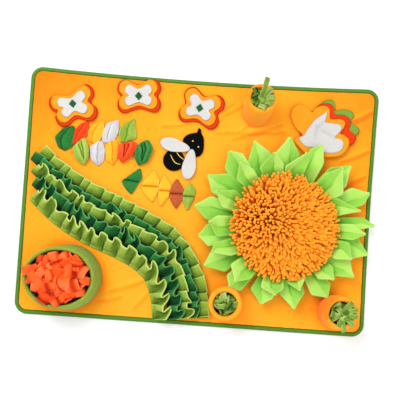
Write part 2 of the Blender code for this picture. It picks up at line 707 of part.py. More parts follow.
def build_stuffing(chance):
    """The cup's stuffing: a lumpy heap of strips with flaps that stand out of it."""
    bm = bmesh.new()
    lean = Vector((CUP.lean_x, CUP.lean_y, 0.0)) / CUP.height
    faces = heap(bm, STUFFING_PROFILE, STUFFING_STEPS, CUP.lip_y / CUP.lip_x, lean, STUFFING_LUMP)
    for row in FLAP_ROWS:
        for k in range(row.first, STUFFING_STEPS, 2):
            face = faces[row.level][k]
            if (row.level, k) == LONG_FLAP:
                continue
            middle = face.calc_center_median()
            out = face.normal
            rise = Vector((0.0, 0.0, row.reach * chance.uniform(0.2, 0.5)))
            first = middle + out * row.reach * 0.55
            stops = (first, first + out * row.reach * 0.5 + rise)
            pull_strip(bm, face, lean * middle.z, stops, FLAP_WIDTH, STRIP_THICKNESS, 0.002)
    long_flap = faces[LONG_FLAP[0]][LONG_FLAP[1]]
    middle = long_flap.calc_center_median()
    stops = (middle + Vector((-0.007, 0.001, 0.014)), *LONG_FLAP_STOPS)
    pull_strip(bm, long_flap, lean * middle.z, stops, LONG_FLAP_WIDTH, STRIP_THICKNESS, 0.002)
    bmesh.ops.recalc_face_normals(bm, faces=bm.faces)
    place("cup_stuffing", bm, "stuffing fleece", (CUP.x, CUP.y, SEAT + GAP))


def build_grass(tube, strips, name):
    """A bunch of flat fabric strips standing in a pot, some hanging over its lip."""
    bm = bmesh.new()
    lean = Vector((tube.lean_x, tube.lean_y, 0.0)) / tube.height
    faces = heap(bm, GRASS_PROFILE, GRASS_STEPS, 1.0, lean, GRASS_LUMP)
    over = lean * tube.height
    for strip in strips:
        face = faces[GRASS_LEVEL][int(strip.side % 360 / 360 * GRASS_STEPS)]
        middle = face.calc_center_median()
        out = Vector((math.cos(math.radians(strip.side)), math.sin(math.radians(strip.side)), 0.0))
        hangs_over = strip.out > LIP_CLEARANCE
        droop = 0.002 if hangs_over else 0.010
        top = strip.top - SEAT
        stops = (
            middle + (Vector((0.0, 0.0, 1.0)) + lean) * 0.016,
            over * 0.95 + out * min(strip.out, 0.016) + Vector((0.0, 0.0, top - droop)),
            over + out * strip.out + Vector((0.0, 0.0, top)),
        )
        pull_strip(bm, face, lean * middle.z, stops, GRASS_WIDTH, STRIP_THICKNESS, 0.001)
    bmesh.ops.recalc_face_normals(bm, faces=bm.faces)
    place(name, bm, "grass fleece", (tube.x, tube.y, SEAT + GAP))


# The sunflower

def polar(angle, radius, height):
    """A point about the sunflower's middle, angle in degrees."""
    return Vector((radius * math.cos(math.radians(angle)), radius * math.sin(math.radians(angle)), height))


def build_petal_ring(name, petals, low, middle_rise, crease):
    """A ring of pointed petals that share a sewn hub and part from each other outside it."""
    bm = bmesh.new()
    count = len(petals)
    seams = []
    for k, petal in enumerate(petals):
        before = petals[k - 1].angle - (360 if k == 0 else 0)
        seams.append((before + petal.angle) / 2)
    inner = [bm.verts.new(polar(a, HUB_INSIDE, low)) for a in seams]
    outer = [bm.verts.new(polar(a, HUB_OUTSIDE, low)) for a in seams]
    for k, petal in enumerate(petals):
        nxt = (k + 1) % count
        end_seam = seams[nxt] + (360 if nxt == 0 else 0)
        inner_middle = bm.verts.new(polar(petal.angle, HUB_INSIDE, low))
        outer_middle = bm.verts.new(polar(petal.angle, HUB_OUTSIDE, low))
        bm.faces.new((inner[k], inner_middle, outer_middle, outer[k]))
        bm.faces.new((inner_middle, inner[nxt], outer[nxt], outer_middle))
        right = seams[k] - petal.angle
        left = end_seam - petal.angle
        rows = [(outer[k], outer_middle, outer[nxt])]
        cross_rows = ((*PETAL_BELLY, middle_rise, crease), (*PETAL_SHOULDER, petal.rise * 0.84, crease * 0.6))
        for way_out, share, height, raised in cross_rows:
            radius = HUB_OUTSIDE + (petal.reach - HUB_OUTSIDE) * way_out
            rows.append((bm.verts.new(polar(petal.angle + right * share, radius, height)),
                         bm.verts.new(polar(petal.angle, radius, height + raised)),
                         bm.verts.new(polar(petal.angle + left * share, radius, height))))
        tip = bm.verts.new(polar(petal.angle, petal.reach, petal.rise))
        for near, far in zip(rows, rows[1:]):
            bm.faces.new((near[0], near[1], far[1], far[0]))
            bm.faces.new((near[1], near[2], far[2], far[1]))
        bm.faces.new((rows[-1][0], rows[-1][1], tip))
        bm.faces.new((rows[-1][1], rows[-1][2], tip))
    thicken(bm, PETAL_CLOTH)
    place(name, bm, "petal fleece", SUNFLOWER)


def build_sunflower(chance):
    """Two rings of petals round a domed pad whose rim stands out in locks."""
    build_petal_ring("petals_outer", OUTER_PETALS, SEAT, OUTER_MIDDLE_RISE, PETAL_CREASE)
    inner = []
    for k, petal in enumerate(OUTER_PETALS):
        following = OUTER_PETALS[(k + 1) % len(OUTER_PETALS)]
        turn = 360 if following.angle < petal.angle else 0
        between = (petal.angle + following.angle + turn) / 2
        reach = INNER_REACH + chance.uniform(-0.006, 0.006)
        inner.append(Petal(between, reach, INNER_RISE + chance.uniform(-0.005, 0.004)))
    build_petal_ring("petals_inner", inner, SEAT + PETAL_CLOTH + GAP, INNER_MIDDLE_RISE, PETAL_CREASE)

    bm = bmesh.new()
    middle_of_pad = Vector((0.0, 0.0, 0.0))
    faces = heap(bm, PAD_PROFILE, PAD_STEPS, 1.0, middle_of_pad, PAD_LUMP)
    for face in faces[LOCK_LEVEL]:
        middle = face.calc_center_median()
        out = Vector((middle.x, middle.y, 0.0)).normalized()
        length = LOCK_LENGTH * chance.uniform(0.75, 1.0)
        stops = (middle + out * length * 0.5 + Vector((0.0, 0.0, LOCK_RISE * 0.1)),
                 middle + out * length + Vector((0.0, 0.0, LOCK_RISE)))
        pull_strip(bm, face, middle_of_pad, stops, LOCK_WIDTH, LOCK_WIDTH * 0.8, 0.0015)
    bmesh.ops.recalc_face_normals(bm, faces=bm.faces)
    place("chenille_pad", bm, "chenille", SUNFLOWER + Vector((0.0, 0.0, SEAT)))


def main():
    for old in list(bpy.data.objects):
        bpy.data.objects.remove(old, do_unlink=True)
    chance = random.Random(SEED)
    build_panel()
    build_binding()
    build_small_flowers()
    build_big_flower()
    build_bee()
    for leaf in UPPER_LEAVES:
        build_upper_leaf(leaf)
    for leaf in LOWER_LEAVES:
        build_lower_leaf(leaf)
    for ribbon in RIBBONS:
        build_ribbon(ribbon, chance)
    build_tube(CUP, 32)
    build_stuffing(chance)
    for number, (pot, strips) in enumerate(zip(POTS, POT_STRIPS), start=1):
        build_tube(pot, 20)
        build_grass(pot, strips, f"pot_{number}_grass")
    build_sunflower(chance)


main()
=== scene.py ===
import math
import random

import bmesh
import bpy
import numpy as np
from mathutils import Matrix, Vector
from mathutils.noise import noise


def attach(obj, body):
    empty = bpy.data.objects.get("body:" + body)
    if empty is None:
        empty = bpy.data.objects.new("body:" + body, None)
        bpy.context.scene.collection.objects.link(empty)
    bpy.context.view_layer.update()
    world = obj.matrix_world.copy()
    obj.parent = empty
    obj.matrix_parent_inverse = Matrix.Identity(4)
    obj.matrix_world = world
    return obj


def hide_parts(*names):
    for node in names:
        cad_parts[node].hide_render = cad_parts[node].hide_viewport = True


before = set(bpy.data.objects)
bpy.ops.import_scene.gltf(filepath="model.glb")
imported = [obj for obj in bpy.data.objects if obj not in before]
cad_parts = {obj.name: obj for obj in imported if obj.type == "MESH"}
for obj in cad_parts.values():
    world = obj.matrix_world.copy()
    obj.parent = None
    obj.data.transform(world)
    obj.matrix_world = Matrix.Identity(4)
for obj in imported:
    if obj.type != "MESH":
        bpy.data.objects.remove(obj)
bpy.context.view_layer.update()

for leftover in ("Cube", "Light", "Camera"):
    if bpy.data.objects.get(leftover):
        bpy.data.objects.remove(bpy.data.objects[leftover], do_unlink=True)
print("frame loaded")


def linearColour(code):
    channels = [int(code[i:i + 2], 16) / 255 for i in (0, 2, 4)]
    return (*[c / 12.92 if c <= 0.04045 else ((c + 0.055) / 1.055) ** 2.4 for c in channels], 1.0)


def addNode(tree, kind, settings=None, stops=(), **inputs):
    # settings are the node's own properties and stops a ramp's; an input is a value or another node's output
    node = tree.nodes.new(kind)
    for name, value in (settings or {}).items():
        setattr(node, name, value)
    for name, value in inputs.items():
        socket = node.inputs[int(name[1:])] if name[1:].isdigit() else node.inputs[name.replace("_", " ")]
        if isinstance(value, bpy.types.NodeSocket):
            tree.links.new(value, socket)
        else:
            socket.default_value = value
    for k, (place, colour) in enumerate(stops):
        element = node.color_ramp.elements[k] if k < 2 else node.color_ramp.elements.new(place)
        element.position = place
        element.color = linearColour(colour)
    return node


def clamp(value):
    return min(1.0, max(0.0, value))


def bell(value, middle, width):
    # one at its middle, and soon nought on either side
    return math.exp(-((value - middle) / width) ** 2)


def wayTo(angle):
    return Vector((math.cos(angle), math.sin(angle), 0.0))


def pieceName(node):
    # the piece that stands for leaf_a1_green is leafA1Green
    first, *others = node.split("_")
    return first + "".join(word.capitalize() for word in others)


def slotName(fleece):
    # the slot of darkGreenFleece is dark_green_fleece
    return "".join(f"_{letter.lower()}" if letter.isupper() else letter for letter in fleece)


def addObject(name, mesh):
    thing = bpy.data.objects.new(name, mesh)
    bpy.context.scene.collection.objects.link(thing)
    return thing


def dressMesh(mesh, fleece, nodes, slot=None):
    # turns the mesh into a piece that rides the mat and stands for its CAD nodes
    mesh.materials.append(cloths[fleece])
    for polygon in mesh.polygons:
        polygon.use_smooth = True
    piece = addObject(mesh.name, mesh)
    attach(piece, "root")
    if nodes:
        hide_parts(*nodes)
    slot or slotName(fleece)
    return piece


def finishPiece(name, bm, fleece, nodes, slot=None):
    mesh = bpy.data.meshes.new(name)
    bm.to_mesh(mesh)
    bm.free()
    return dressMesh(mesh, fleece, nodes, slot)


def addWall(piece, name, thickness, offset=1.0):
    wall = piece.modifiers.new(name, "SOLIDIFY")
    wall.thickness = thickness
    wall.offset = offset


def openEdges(bm):
    return [edge for edge in bm.edges if edge.is_boundary]


def faceUp(bm):
    bmesh.ops.recalc_face_normals(bm, faces=bm.faces)
    if sum(face.normal.z for face in bm.faces) < 0:
        bmesh.ops.reverse_faces(bm, faces=bm.faces)


def clothGrid(bm, across, along, place, flat=(1.0, 1.0), tint=None):
    # a flat grid bent into a cloth: place(u, v) gives a point, u and v run from 0 to 1;
    # its UV map is the flat cloth in metres, and the shading function given with it paints light, shade and
    # random tone onto each point
    uvLayer = bm.loops.layers.uv.verify()
    paintedShadingLayer = bm.verts.layers.float.get("tint") or bm.verts.layers.float.new("tint")
    made = bmesh.ops.create_grid(bm, x_segments=across, y_segments=along, size=0.5)["verts"]
    spots = {vert: [clamp(c + 0.5) for c in vert.co[:2]] for vert in made}
    faces = {face for vert in made for face in vert.link_faces}
    for face in faces:
        for loop in face.loops:
            u, v = spots[loop.vert]
            loop[uvLayer].uv = (u * flat[0], v * flat[1])
    for vert, (u, v) in spots.items():
        vert.co = place(u, v)
        vert[paintedShadingLayer] = tint(u, v) if tint else 0.0
    return list(faces)


def closeSeams(bm, reach=0.00002):
    bmesh.ops.remove_doubles(bm, verts=list(bm.verts), dist=reach)


def giveThickness(bm, faces, thickness):
    faces = [face for face in faces if face.is_valid]
    bmesh.ops.solidify(bm, geom=faces, thickness=thickness)


def cloth(name, deep, shade, colour, pale, pile=0.0011, clump=0.006, contrast=0.35, sheen=0.06):
    # the colour ramp runs from the painted shade of the deepest fold to a painted highlight on a lit edge;
    # the painted light, shade and tone of each piece move along it, and the pile's clumps move it a little at
    # random
    material = bpy.data.materials.new(name)
    material.use_nodes = True
    tree = material.node_tree
    shader = tree.nodes["Principled BSDF"]
    shader.inputs["Roughness"].default_value = 0.95
    shader.inputs["Specular IOR Level"].default_value = 0.08
    shader.inputs["Sheen Weight"].default_value = sheen
    shader.inputs["Sheen Roughness"].default_value = 0.6
    where = addNode(tree, "ShaderNodeTexCoord").outputs["Object"]
    clumps = addNode(tree, "ShaderNodeTexNoise", Vector=where, Scale=1 / clump, Detail=3.0, Roughness=0.6)
    fibres = addNode(tree, "ShaderNodeTexNoise", Vector=where, Scale=1 / pile, Detail=2.0, Roughness=0.7)
    mixed = addNode(tree, "ShaderNodeMath", {"operation": "MULTIPLY_ADD"},
                    _0=fibres.outputs["Fac"], _1=0.4, _2=clumps.outputs["Fac"])
    tint = addNode(tree, "ShaderNodeAttribute", {"attribute_name": "tint"})
    based = addNode(tree, "ShaderNodeMath", {"operation": "ADD"},
                    _0=tint.outputs["Fac"], _1=0.6 - 0.7 * contrast)
    value = addNode(tree, "ShaderNodeMath", {"operation": "MULTIPLY_ADD"},
                    _0=mixed.outputs["Value"], _1=contrast, _2=based.outputs["Value"])
    ramp = addNode(tree, "ShaderNodeValToRGB", Fac=value.outputs["Value"],
                   stops=((0.05, deep), (0.40, shade), (0.62, colour), (0.95, pale)))
    tree.links.new(ramp.outputs["Color"], shader.inputs["Base Color"])
    bump = addNode(tree, "ShaderNodeBump", Height=mixed.outputs["Value"], Strength=0.8, Distance=0.0005)
    tree.links.new(bump.outputs["Normal"], shader.inputs["Normal"])
    return material


# polar fleece is knitted, brushed and sheared: matt, soft at its edges, with a pile that clumps
# craft felt is pressed fibre: matt and flat, with a fine mottle
# chenille is a fuzzy microfibre yarn: its locks are painted light at the tips and painted dark down between
# them, where shade falls
cloths = {
    "orangeFleece": cloth("brushed orange polar fleece", "FF5A0A", "FF8212", "FFA01C", "FFB430", clump=0.05,
                          contrast=0.22),
    "bindingTape": cloth("green knitted binding tape", "2A3E0C", "3E6418", "528028", "68983C", clump=0.004),
    "redFelt": cloth("red craft felt", "901A02", "C82C06", "E23C0C", "F05A28", clump=0.003),
    "yellowFelt": cloth("yellow craft felt", "8C5A10", "E88812", "F69A1E", "FCAC34", clump=0.003),
    "whiteFelt": cloth("white craft felt", "B89070", "C0BCBC", "CECCC8", "E0DEDA", clump=0.003, contrast=0.5),
    "darkGreenFelt": cloth("dark green craft felt", "0A2812", "144422", "1C5A2C", "2E7440", clump=0.003),
    "leafGreenFelt": cloth("leaf green craft felt", "34581A", "6A8C30", "7CA03C", "90B454", clump=0.003),
    "blackFelt": cloth("black craft felt", "020203", "050507", "08080A", "141418", clump=0.003, sheen=0.0),
    "darkGreenFleece": cloth("dark green polar fleece", "06321A", "1A5A25", "2C7A34", "569A54"),
    "lightGreenFleece": cloth("light green polar fleece", "34500E", "74942E", "98B644", "C0D470"),
    "redFleece": cloth("red polar fleece", "8C1604", "D0340C", "F04816", "FA7448"),
    "yellowFleece": cloth("yellow polar fleece", "C06006", "EC9E1A", "FCB82C", "FFD05C"),
    "whiteFleece": cloth("white polar fleece", "8C8A94", "BEBCC2", "D4D2D6", "E6E4E8"),
    "rustFleece": cloth("rust polar fleece", "642410", "A04824", "B8582E", "CC7450"),
    "cupFleece": cloth("leaf green polar fleece", "263A0A", "5E7A1C", "80982A", "A0B650", clump=0.012),
    "stuffingFleece": cloth("coral polar fleece", "841604", "D8360A", "FF5C1A", "FF8C54", clump=0.012),
    "grassFleece": cloth("grass green polar fleece", "1A300A", "5C7E28", "86A640", "BCCE7C", clump=0.01),
    "petalFleece": cloth("bright lime polar fleece", "2E8A14", "7CC43E", "B0E062", "D2F09C", clump=0.03,
                         contrast=0.15),
    "stitchYellow": cloth("pale yellow embroidery thread", "A88430", "D8B458", "E8C868", "F4DC94", clump=0.002),
    "chenille": cloth("orange microfibre chenille", "C85C08", "F08A12", "FFA01C", "FFB83C", pile=0.0016,
                      clump=0.003),
}
print("cloths made")


matSize = {
    "halfWidth": 0.35075, "halfDepth": 0.2495, "cornerRadius": 0.024, "thickness": 0.004,
    "topSag": 0.008, "rightSag": 0.003, "sideTaper": 0.00325, "cell": 0.0036, "rimInset": 0.0022,
    "cut": (0.70, 0.497),
}


def matShape(x, y):
    # carries a point of the plain rectangle to the mat as it lies, with its drawn-in edges
    across = x / matSize["halfWidth"]
    along = y / matSize["halfDepth"]
    shapedX = x + matSize["sideTaper"] * along * across
    shapedY = y
    if y > 0:
        shapedY -= matSize["topSag"] * along * (1 - across ** 2)
    if x > 0:
        shapedX -= matSize["rightSag"] * across * (1 - along ** 2)
    return shapedX, shapedY


def roundCorner(x, y):
    straightX = matSize["halfWidth"] - matSize["cornerRadius"]
    straightY = matSize["halfDepth"] - matSize["cornerRadius"]
    overX = abs(x) - straightX
    overY = abs(y) - straightY
    if min(overX, overY) <= 0:
        return x, y
    radius = max(overX, overY)
    share = overY / overX if overX >= overY else 2 - overX / overY
    angle = share * math.pi / 4
    return (math.copysign(straightX + radius * math.cos(angle), x),
            math.copysign(straightY + radius * math.sin(angle), y))


# soft creases: both ends, height and half width
creases = (
    (0.338, 0.160, 0.336, 0.060, 0.0030, 0.030), (-0.135, -0.192, -0.130, -0.215, 0.0025, 0.022),
    (0.140, -0.236, 0.225, -0.234, 0.0025, 0.028), (-0.334, 0.120, -0.334, 0.200, 0.0025, 0.030),
    (0.020, 0.179, 0.058, 0.208, 0.0014, 0.008), (0.038, 0.180, 0.079, 0.205, 0.0014, 0.008),
    (0.030, 0.145, 0.164, 0.154, 0.0014, 0.010), (0.063, 0.133, 0.157, 0.168, 0.0016, 0.010),
    (0.279, 0.046, 0.331, 0.070, 0.0018, 0.011), (0.288, 0.101, 0.338, 0.123, 0.0014, 0.010),
    (-0.161, -0.192, -0.097, -0.168, 0.0016, 0.011), (-0.112, -0.223, -0.087, -0.193, 0.0016, 0.010),
    (0.076, 0.152, 0.119, 0.188, 0.0012, 0.008), (-0.179, -0.213, -0.140, -0.203, 0.0014, 0.010),
    (0.199, 0.136, 0.240, 0.127, 0.0010, 0.008), (0.302, 0.184, 0.338, 0.203, 0.0014, 0.012),
    (-0.080, 0.150, -0.030, 0.158, 0.0008, 0.008), (0.020, 0.040, 0.060, 0.010, 0.0010, 0.014),
)


# painted shade round the tall pieces, where their shade falls on the brushed cloth, painted deeper orange:
# middle, radius, reach and depth
paintedContactShade = ((-0.245, -0.172, 0.066, 0.014, 0.30), (0.176, -0.042, 0.160, 0.020, 0.08),
         (0.071, -0.200, 0.034, 0.008, 0.14), (0.285, -0.203, 0.034, 0.010, 0.14))


def nearCrease(crease, x, y):
    # nearness to a crease's line, 1 on it and nought half a width off, and the side it is on
    x0, y0, x1, y1, tall, wide = crease
    runX, runY = x1 - x0, y1 - y0
    share = clamp(((x - x0) * runX + (y - y0) * runY) / (runX ** 2 + runY ** 2))
    away = math.hypot(x - x0 - runX * share, y - y0 - runY * share)
    side = math.copysign(1.0, (x - x0) * runY - (y - y0) * runX)
    return max(0.0, 1 - away / wide) * math.sin(math.pi * (0.15 + 0.7 * share)), side


def creaseHeight(x, y):
    return sum(crease[4] * (0.5 - 0.5 * math.cos(math.pi * nearCrease(crease, x, y)[0]))
               for crease in creases)


def matPaintedShading(x, y):
    # painted shade: the cloth is painted oranger towards its upper left, left, right and top, darker along one
    # side of a fine crease and lighter along the other, and deeper orange round the tall pieces
    topLeft = max(0.0, (-x - 0.05) / 0.30) * max(0.0, (y - 0.02) / 0.23)
    tint = 0.17 - 0.26 * topLeft ** 0.7 - 0.20 * max(0.0, (x - 0.14) / 0.21) * (1.0 if y > -0.1 else 0.5)
    tint -= 0.10 * max(0.0, (-x - 0.25) / 0.10) + 0.12 * max(0.0, (y - 0.10) / 0.15)
    # painted shade and a painted highlight either side of each fine crease
    for crease in creases:
        near, side = nearCrease(crease, x, y)
        if crease[5] < 0.02 and near > 0:
            tint += (-0.21 if side > 0 else 0.08) * math.sin(math.pi * near)
    # painted contact shade round the tall pieces
    for x0, y0, radius, reach, depth in paintedContactShade:
        tint -= depth * bell(math.hypot(x - x0, y - y0), radius, reach)
    return tint


def buildMat():
    bm = bmesh.new()
    halfWidth = matSize["halfWidth"] - matSize["rimInset"]
    halfDepth = matSize["halfDepth"] - matSize["rimInset"]

    def top(u, v):
        x, y = (2 * u - 1) * halfWidth, (2 * v - 1) * halfDepth
        x, y = matShape(*roundCorner(x, y))
        edge = clamp(14 * min(u, 1 - u, v, 1 - v))
        lift = creaseHeight(x, y) + 0.0005 * noise(Vector((x, y, 0.0)) * 24) * edge
        return Vector((x, y, matSize["thickness"] + lift))

    across = int(2 * halfWidth / matSize["cell"])
    along = int(2 * halfDepth / matSize["cell"])
    clothGrid(bm, across, along, top, flat=matSize["cut"],
              tint=lambda u, v: matPaintedShading((2 * u - 1) * halfWidth, (2 * v - 1) * halfDepth))
    made = bmesh.ops.extrude_face_region(bm, geom=list(bm.faces))["geom"]
    for item in made:
        if isinstance(item, bmesh.types.BMVert):
            item.co.z = 0.0
    bmesh.ops.recalc_face_normals(bm, faces=bm.faces)
    panel = finishPiece("matPanel", bm, "orangeFleece", ["mat_panel"])


buildMat()
print("mat panel")


bindingSize = {
    "width": 0.0068, "cloth": 0.0009, "puff": 0.0013, "pucker": 0.0005, "steps": 640, "rows": 18,
    "length": 2.36, "cut": 0.0228,
}


def edgeSpot(share, inset):
    # a place round the mat, at one distance inside its edge
    straightX = matSize["halfWidth"] - matSize["cornerRadius"]
    straightY = matSize["halfDepth"] - matSize["cornerRadius"]
    arc = matSize["cornerRadius"] * math.pi / 2
    radius = matSize["cornerRadius"] - inset
    sides = (("arc", 1, 1, 0), ("side", -1, 0, 2 * straightX),
             ("arc", -1, 1, 90), ("side", 0, -1, 2 * straightY),
             ("arc", -1, -1, 180), ("side", 1, 0, 2 * straightX),
             ("arc", 1, -1, 270), ("side", 0, 1, 2 * straightY))
    whole = 4 * arc + 4 * (straightX + straightY)
    left = share % 1.0 * whole
    x, y = straightX + radius, straightY
    for kind, a, b, size in sides:
        length = arc if kind == "arc" else size
        if kind == "arc":
            turn = math.radians(size) + min(left, length) / matSize["cornerRadius"]
            x, y = a * straightX + radius * math.cos(turn), b * straightY + radius * math.sin(turn)
        else:
            x, y = x + a * min(left, length), y + b * min(left, length)
        if left <= length:
            break
        left -= length
    return matShape(x, y)


def buildBinding():
    bm = bmesh.new()
    width = bindingSize["width"]
    half = matSize["thickness"] / 2
    run = 2 * width + math.pi * half

    def tape(u, v):
        # v runs round the fold: under the mat, round its edge, and back over it
        along = v * run
        ripple = noise(wayTo(2 * math.pi * u) * 55)
        if along < width:
            inset, height = width - along, 0.0
        elif along > run - width:
            inset = along - (run - width)
            share = inset / width
            height = 2 * half + bindingSize["puff"] * math.sin(math.pi * min(1.0, share * 1.05)) ** 0.8
            inset += bindingSize["pucker"] * ripple * share
            height += bindingSize["pucker"] * ripple * share * (1 - share) * 2
        else:
            turn = (along - width) / half
            inset, height = -half * math.sin(turn), half - half * math.cos(turn)
        x, y = edgeSpot(u, inset + bindingSize["cloth"])
        height += creaseHeight(x, y) * min(1.0, height / (2 * half))
        return Vector((x, y, height))

    def seam(u, v):
        # painted shade in the sunk seam where the tape is stitched down, and a painted highlight across its
        # puffed top
        inset = (v * run - (run - width)) / width
        return -0.42 * bell(inset, 0.97, 0.16) + 0.10 * bell(inset, 0.35, 0.25)

    clothGrid(bm, bindingSize["steps"], bindingSize["rows"], tape, flat=(bindingSize["length"], run),
              tint=seam)
    closeSeams(bm)
    bmesh.ops.recalc_face_normals(bm, faces=bm.faces)
    binding = finishPiece("bindingTape", bm, "bindingTape", ["binding"], slot="green_binding")
    addWall(binding, "tape thickness", bindingSize["cloth"], offset=-1.0)


buildBinding()
print("binding")


feltSize = {"seat": 0.0043, "thickness": 0.0015, "step": 0.0018, "lift": 0.050, "flutter": 0.0006}

# a butterfly has four wings, given as direction in degrees and reach in mm, with notches between them
# that are deeper the further apart the wings are; its layers have scale, how far out the notches stay
# and offset
butterfly = {
    "notch": 0.047, "deeper": 0.00021, "blunt": 0.91, "spread": 18, "diamond": 0.0085,
    "layers": (("base", "redFelt", 1.12, 1.0, 0.0022, -0.0026), ("middle", "yellowFelt", 1.0, 0.97, 0.0, 0.0),
               ("top", "whiteFelt", 0.70, 0.88, 0.0, 0.0)),
    "places": (("flower_1", -0.265, 0.177, 12, ((50, 46), (178, 45), (238, 45), (338, 47))),
               ("flower_2", -0.133, 0.202, 4, ((42, 45), (150, 46), (212, 44), (336, 42))),
               ("flower_3", -0.008, 0.186, -8, ((24, 46), (123, 45), (203, 42), (314, 43)))),
}
# each layer of the big flower: its middle, then its corners, in mm
bigFlower = (
    ("green", "leafGreenFelt", (262, 170),
     ((222, 195), (239, 215), (256, 222), (265, 215), (267, 201), (284, 204), (300, 201), (304, 191), (299, 180),
      (314, 169), (317, 161), (311, 152), (288, 135), (254, 125), (226, 130), (207, 147), (209, 175))),
    ("red", "redFelt", (259, 165),
     ((219, 193), (231, 208), (243, 213), (256, 213), (264, 205), (266, 193), (285, 192), (296, 185), (299, 174),
      (296, 163), (307, 155), (311, 147), (306, 135), (289, 123), (260, 114), (227, 119), (213, 110), (214, 129),
      (197, 147), (205, 175))),
    ("orange", "yellowFelt", (238, 166),
     ((203, 145), (189, 157), (177, 179), (178, 196), (188, 207), (199, 207), (211, 201), (219, 193), (227, 203),
      (240, 208), (251, 206), (255, 199), (258, 182), (278, 183), (288, 177), (286, 166), (279, 153), (291, 148),
      (298, 139), (296, 124), (282, 108), (251, 102), (218, 104), (195, 121), (187, 133))),
    ("white", "whiteFelt", (240, 147),
     ((250, 196), (247, 176), (271, 173), (281, 168), (279, 159), (268, 144), (281, 141), (287, 132), (282, 119),
      (269, 113), (253, 112), (232, 114), (225, 121), (211, 122), (201, 130), (196, 139), (205, 144), (213, 159),
      (227, 179), (241, 190))),
)
whiteFolds = ((0.268, 0.144, 0.231, 0.164), (0.247, 0.176, 0.231, 0.164), (0.231, 0.164, 0.228, 0.140))
bee = {
    "head": ((-13, 108), ((-37, 119), (-29, 130), (-15, 135), (-9.5, 136.5), (-8, 143), (-5, 145), (-2, 142),
                          (-1, 135), (4, 127), (6, 112), (5, 98), (-1, 89), (-9, 87), (-23, 93), (-33, 103))),
    "body": (-0.0525, 0.0765, 0.0218), "wing": (0.0310, 0.0158, 0.30),
    "wings": (("bee_wing_1", -0.052, 0.1065, 169, 0.0012), ("bee_wing_2", -0.0205, 0.0705, 264, 0.0006)),
    "eyes": ((-0.017, 0.118), (-0.005, 0.107)), "eye": 0.0017, "thread": 0.0019,
    "stripes": (((-0.048, 0.093), (-0.041, 0.085), (-0.032, 0.079)),
                ((-0.060, 0.087), (-0.054, 0.077), (-0.048, 0.071), (-0.039, 0.069))),
}


def smoothCurve(stops, steps, closed=False):
    corners = [Vector(stop) for stop in stops]
    if closed:
        corners = corners[-1:] + corners + corners[:2]
    else:
        corners = [2 * corners[0] - corners[1]] + corners + [2 * corners[-1] - corners[-2]]
    line = []
    for a, b, c, d in zip(corners, corners[1:], corners[2:], corners[3:]):
        for k in range(steps):
            t = k / steps
            line.append(0.5 * (2 * b + (c - a) * t + (2 * a - 5 * b + 4 * c - d) * t ** 2
                               + (3 * b - a - 3 * c + d) * t ** 3))
    return line if closed else line + [corners[-2]]


def wingedOutline(centre, wings, scale, notched):
    stops = []
    for (heading, reach), (following, _) in zip(wings, wings[1:] + wings[:1]):
        gap = (following - heading) % 360
        blunt, spread = butterfly["blunt"] * reach / 1000, butterfly["spread"]
        for turn, far in ((heading - spread, blunt), (heading, reach / 1000), (heading + spread, blunt),
                          (heading + gap / 2, (butterfly["notch"] - butterfly["deeper"] * gap) * notched)):
            angle = math.radians(turn)
            stops.append(Vector(centre) + Vector((math.cos(angle), math.sin(angle))) * far * scale)
    return smoothCurve(stops, 10, closed=True)


def turnedOutline(reachAt, centre, turn, steps=160):
    # the outline of a shape that is given by its reach at each angle
    outline = []
    for k in range(steps):
        spin = math.radians(360 * k / steps + turn)
        reach = reachAt(360 * k / steps)
        outline.append(Vector((centre[0] + reach * math.cos(spin), centre[1] + reach * math.sin(spin))))
    return outline


def buildFelt(name, felt, outline, centre, level, lift=0.0, rings=10, folds=(), edgeTint=-0.42):
    # one cut felt shape; its edge lifts a little away from where it is sewn down
    bm = bmesh.new()
    steps = len(outline)
    width, depth = (max(spot[i] for spot in outline) - min(spot[i] for spot in outline) for i in (0, 1))
    middle = Vector(centre)

    def foldAt(spot):
        return sum(nearCrease((*fold, 1.0, 0.006), spot.x, spot.y)[0] for fold in folds)

    def flatSpot(u, v):
        return middle + (outline[int(round(v * steps)) % steps] - middle) * u ** 0.8

    def place(u, v):
        spot = flatSpot(u, v)
        reach = (spot - middle).length
        ripple = noise(Vector((spot.x, spot.y, 0.3)) * 45)
        height = feltSize["seat"] + level * feltSize["step"] + lift + feltSize["lift"] * reach
        height += feltSize["flutter"] * (1 + ripple) * min(1.0, reach / 0.03) - 0.0003 * foldAt(spot)
        return Vector((spot.x, spot.y, height))

    def shade(u, v):
        return (edgeTint if u > 0.95 else 0.0) - 0.20 * foldAt(flatSpot(u, v))

    clothGrid(bm, rings, steps, place, flat=(width / 2, 3 * width), tint=shade)
    closeSeams(bm)
    faceUp(bm)
    piece = finishPiece(pieceName(name), bm, felt, [name])
    addWall(piece, "felt thickness", feltSize["thickness"])


def drawnOutline(corners):
    return smoothCurve([Vector(corner) / 1000 for corner in corners], 9, closed=True)


def diamondReach(angle):
    turn = math.radians(angle)
    return butterfly["diamond"] / (abs(math.cos(turn)) * 1.15 + abs(math.sin(turn)))


def buildFlowers():
    for name, x, y, turn, wings in butterfly["places"]:
        for level, (layer, felt, scale, notched, aside, down) in enumerate(butterfly["layers"]):
            centre = (x + aside, y + down)
            buildFelt(f"{name}_{layer}", felt, wingedOutline(centre, wings, scale, notched), centre, level)
        diamond = turnedOutline(diamondReach, (x, y), turn, 48)
        buildFelt(f"{name}_centre", "darkGreenFelt", diamond, (x, y), 3, rings=5)
    for level, (layer, felt, centre, corners) in enumerate(bigFlower):
        buildFelt(f"big_flower_{layer}", felt, drawnOutline(corners), Vector(centre) / 1000, level * 0.8,
                  rings=16, folds=whiteFolds if layer == "white" else ())


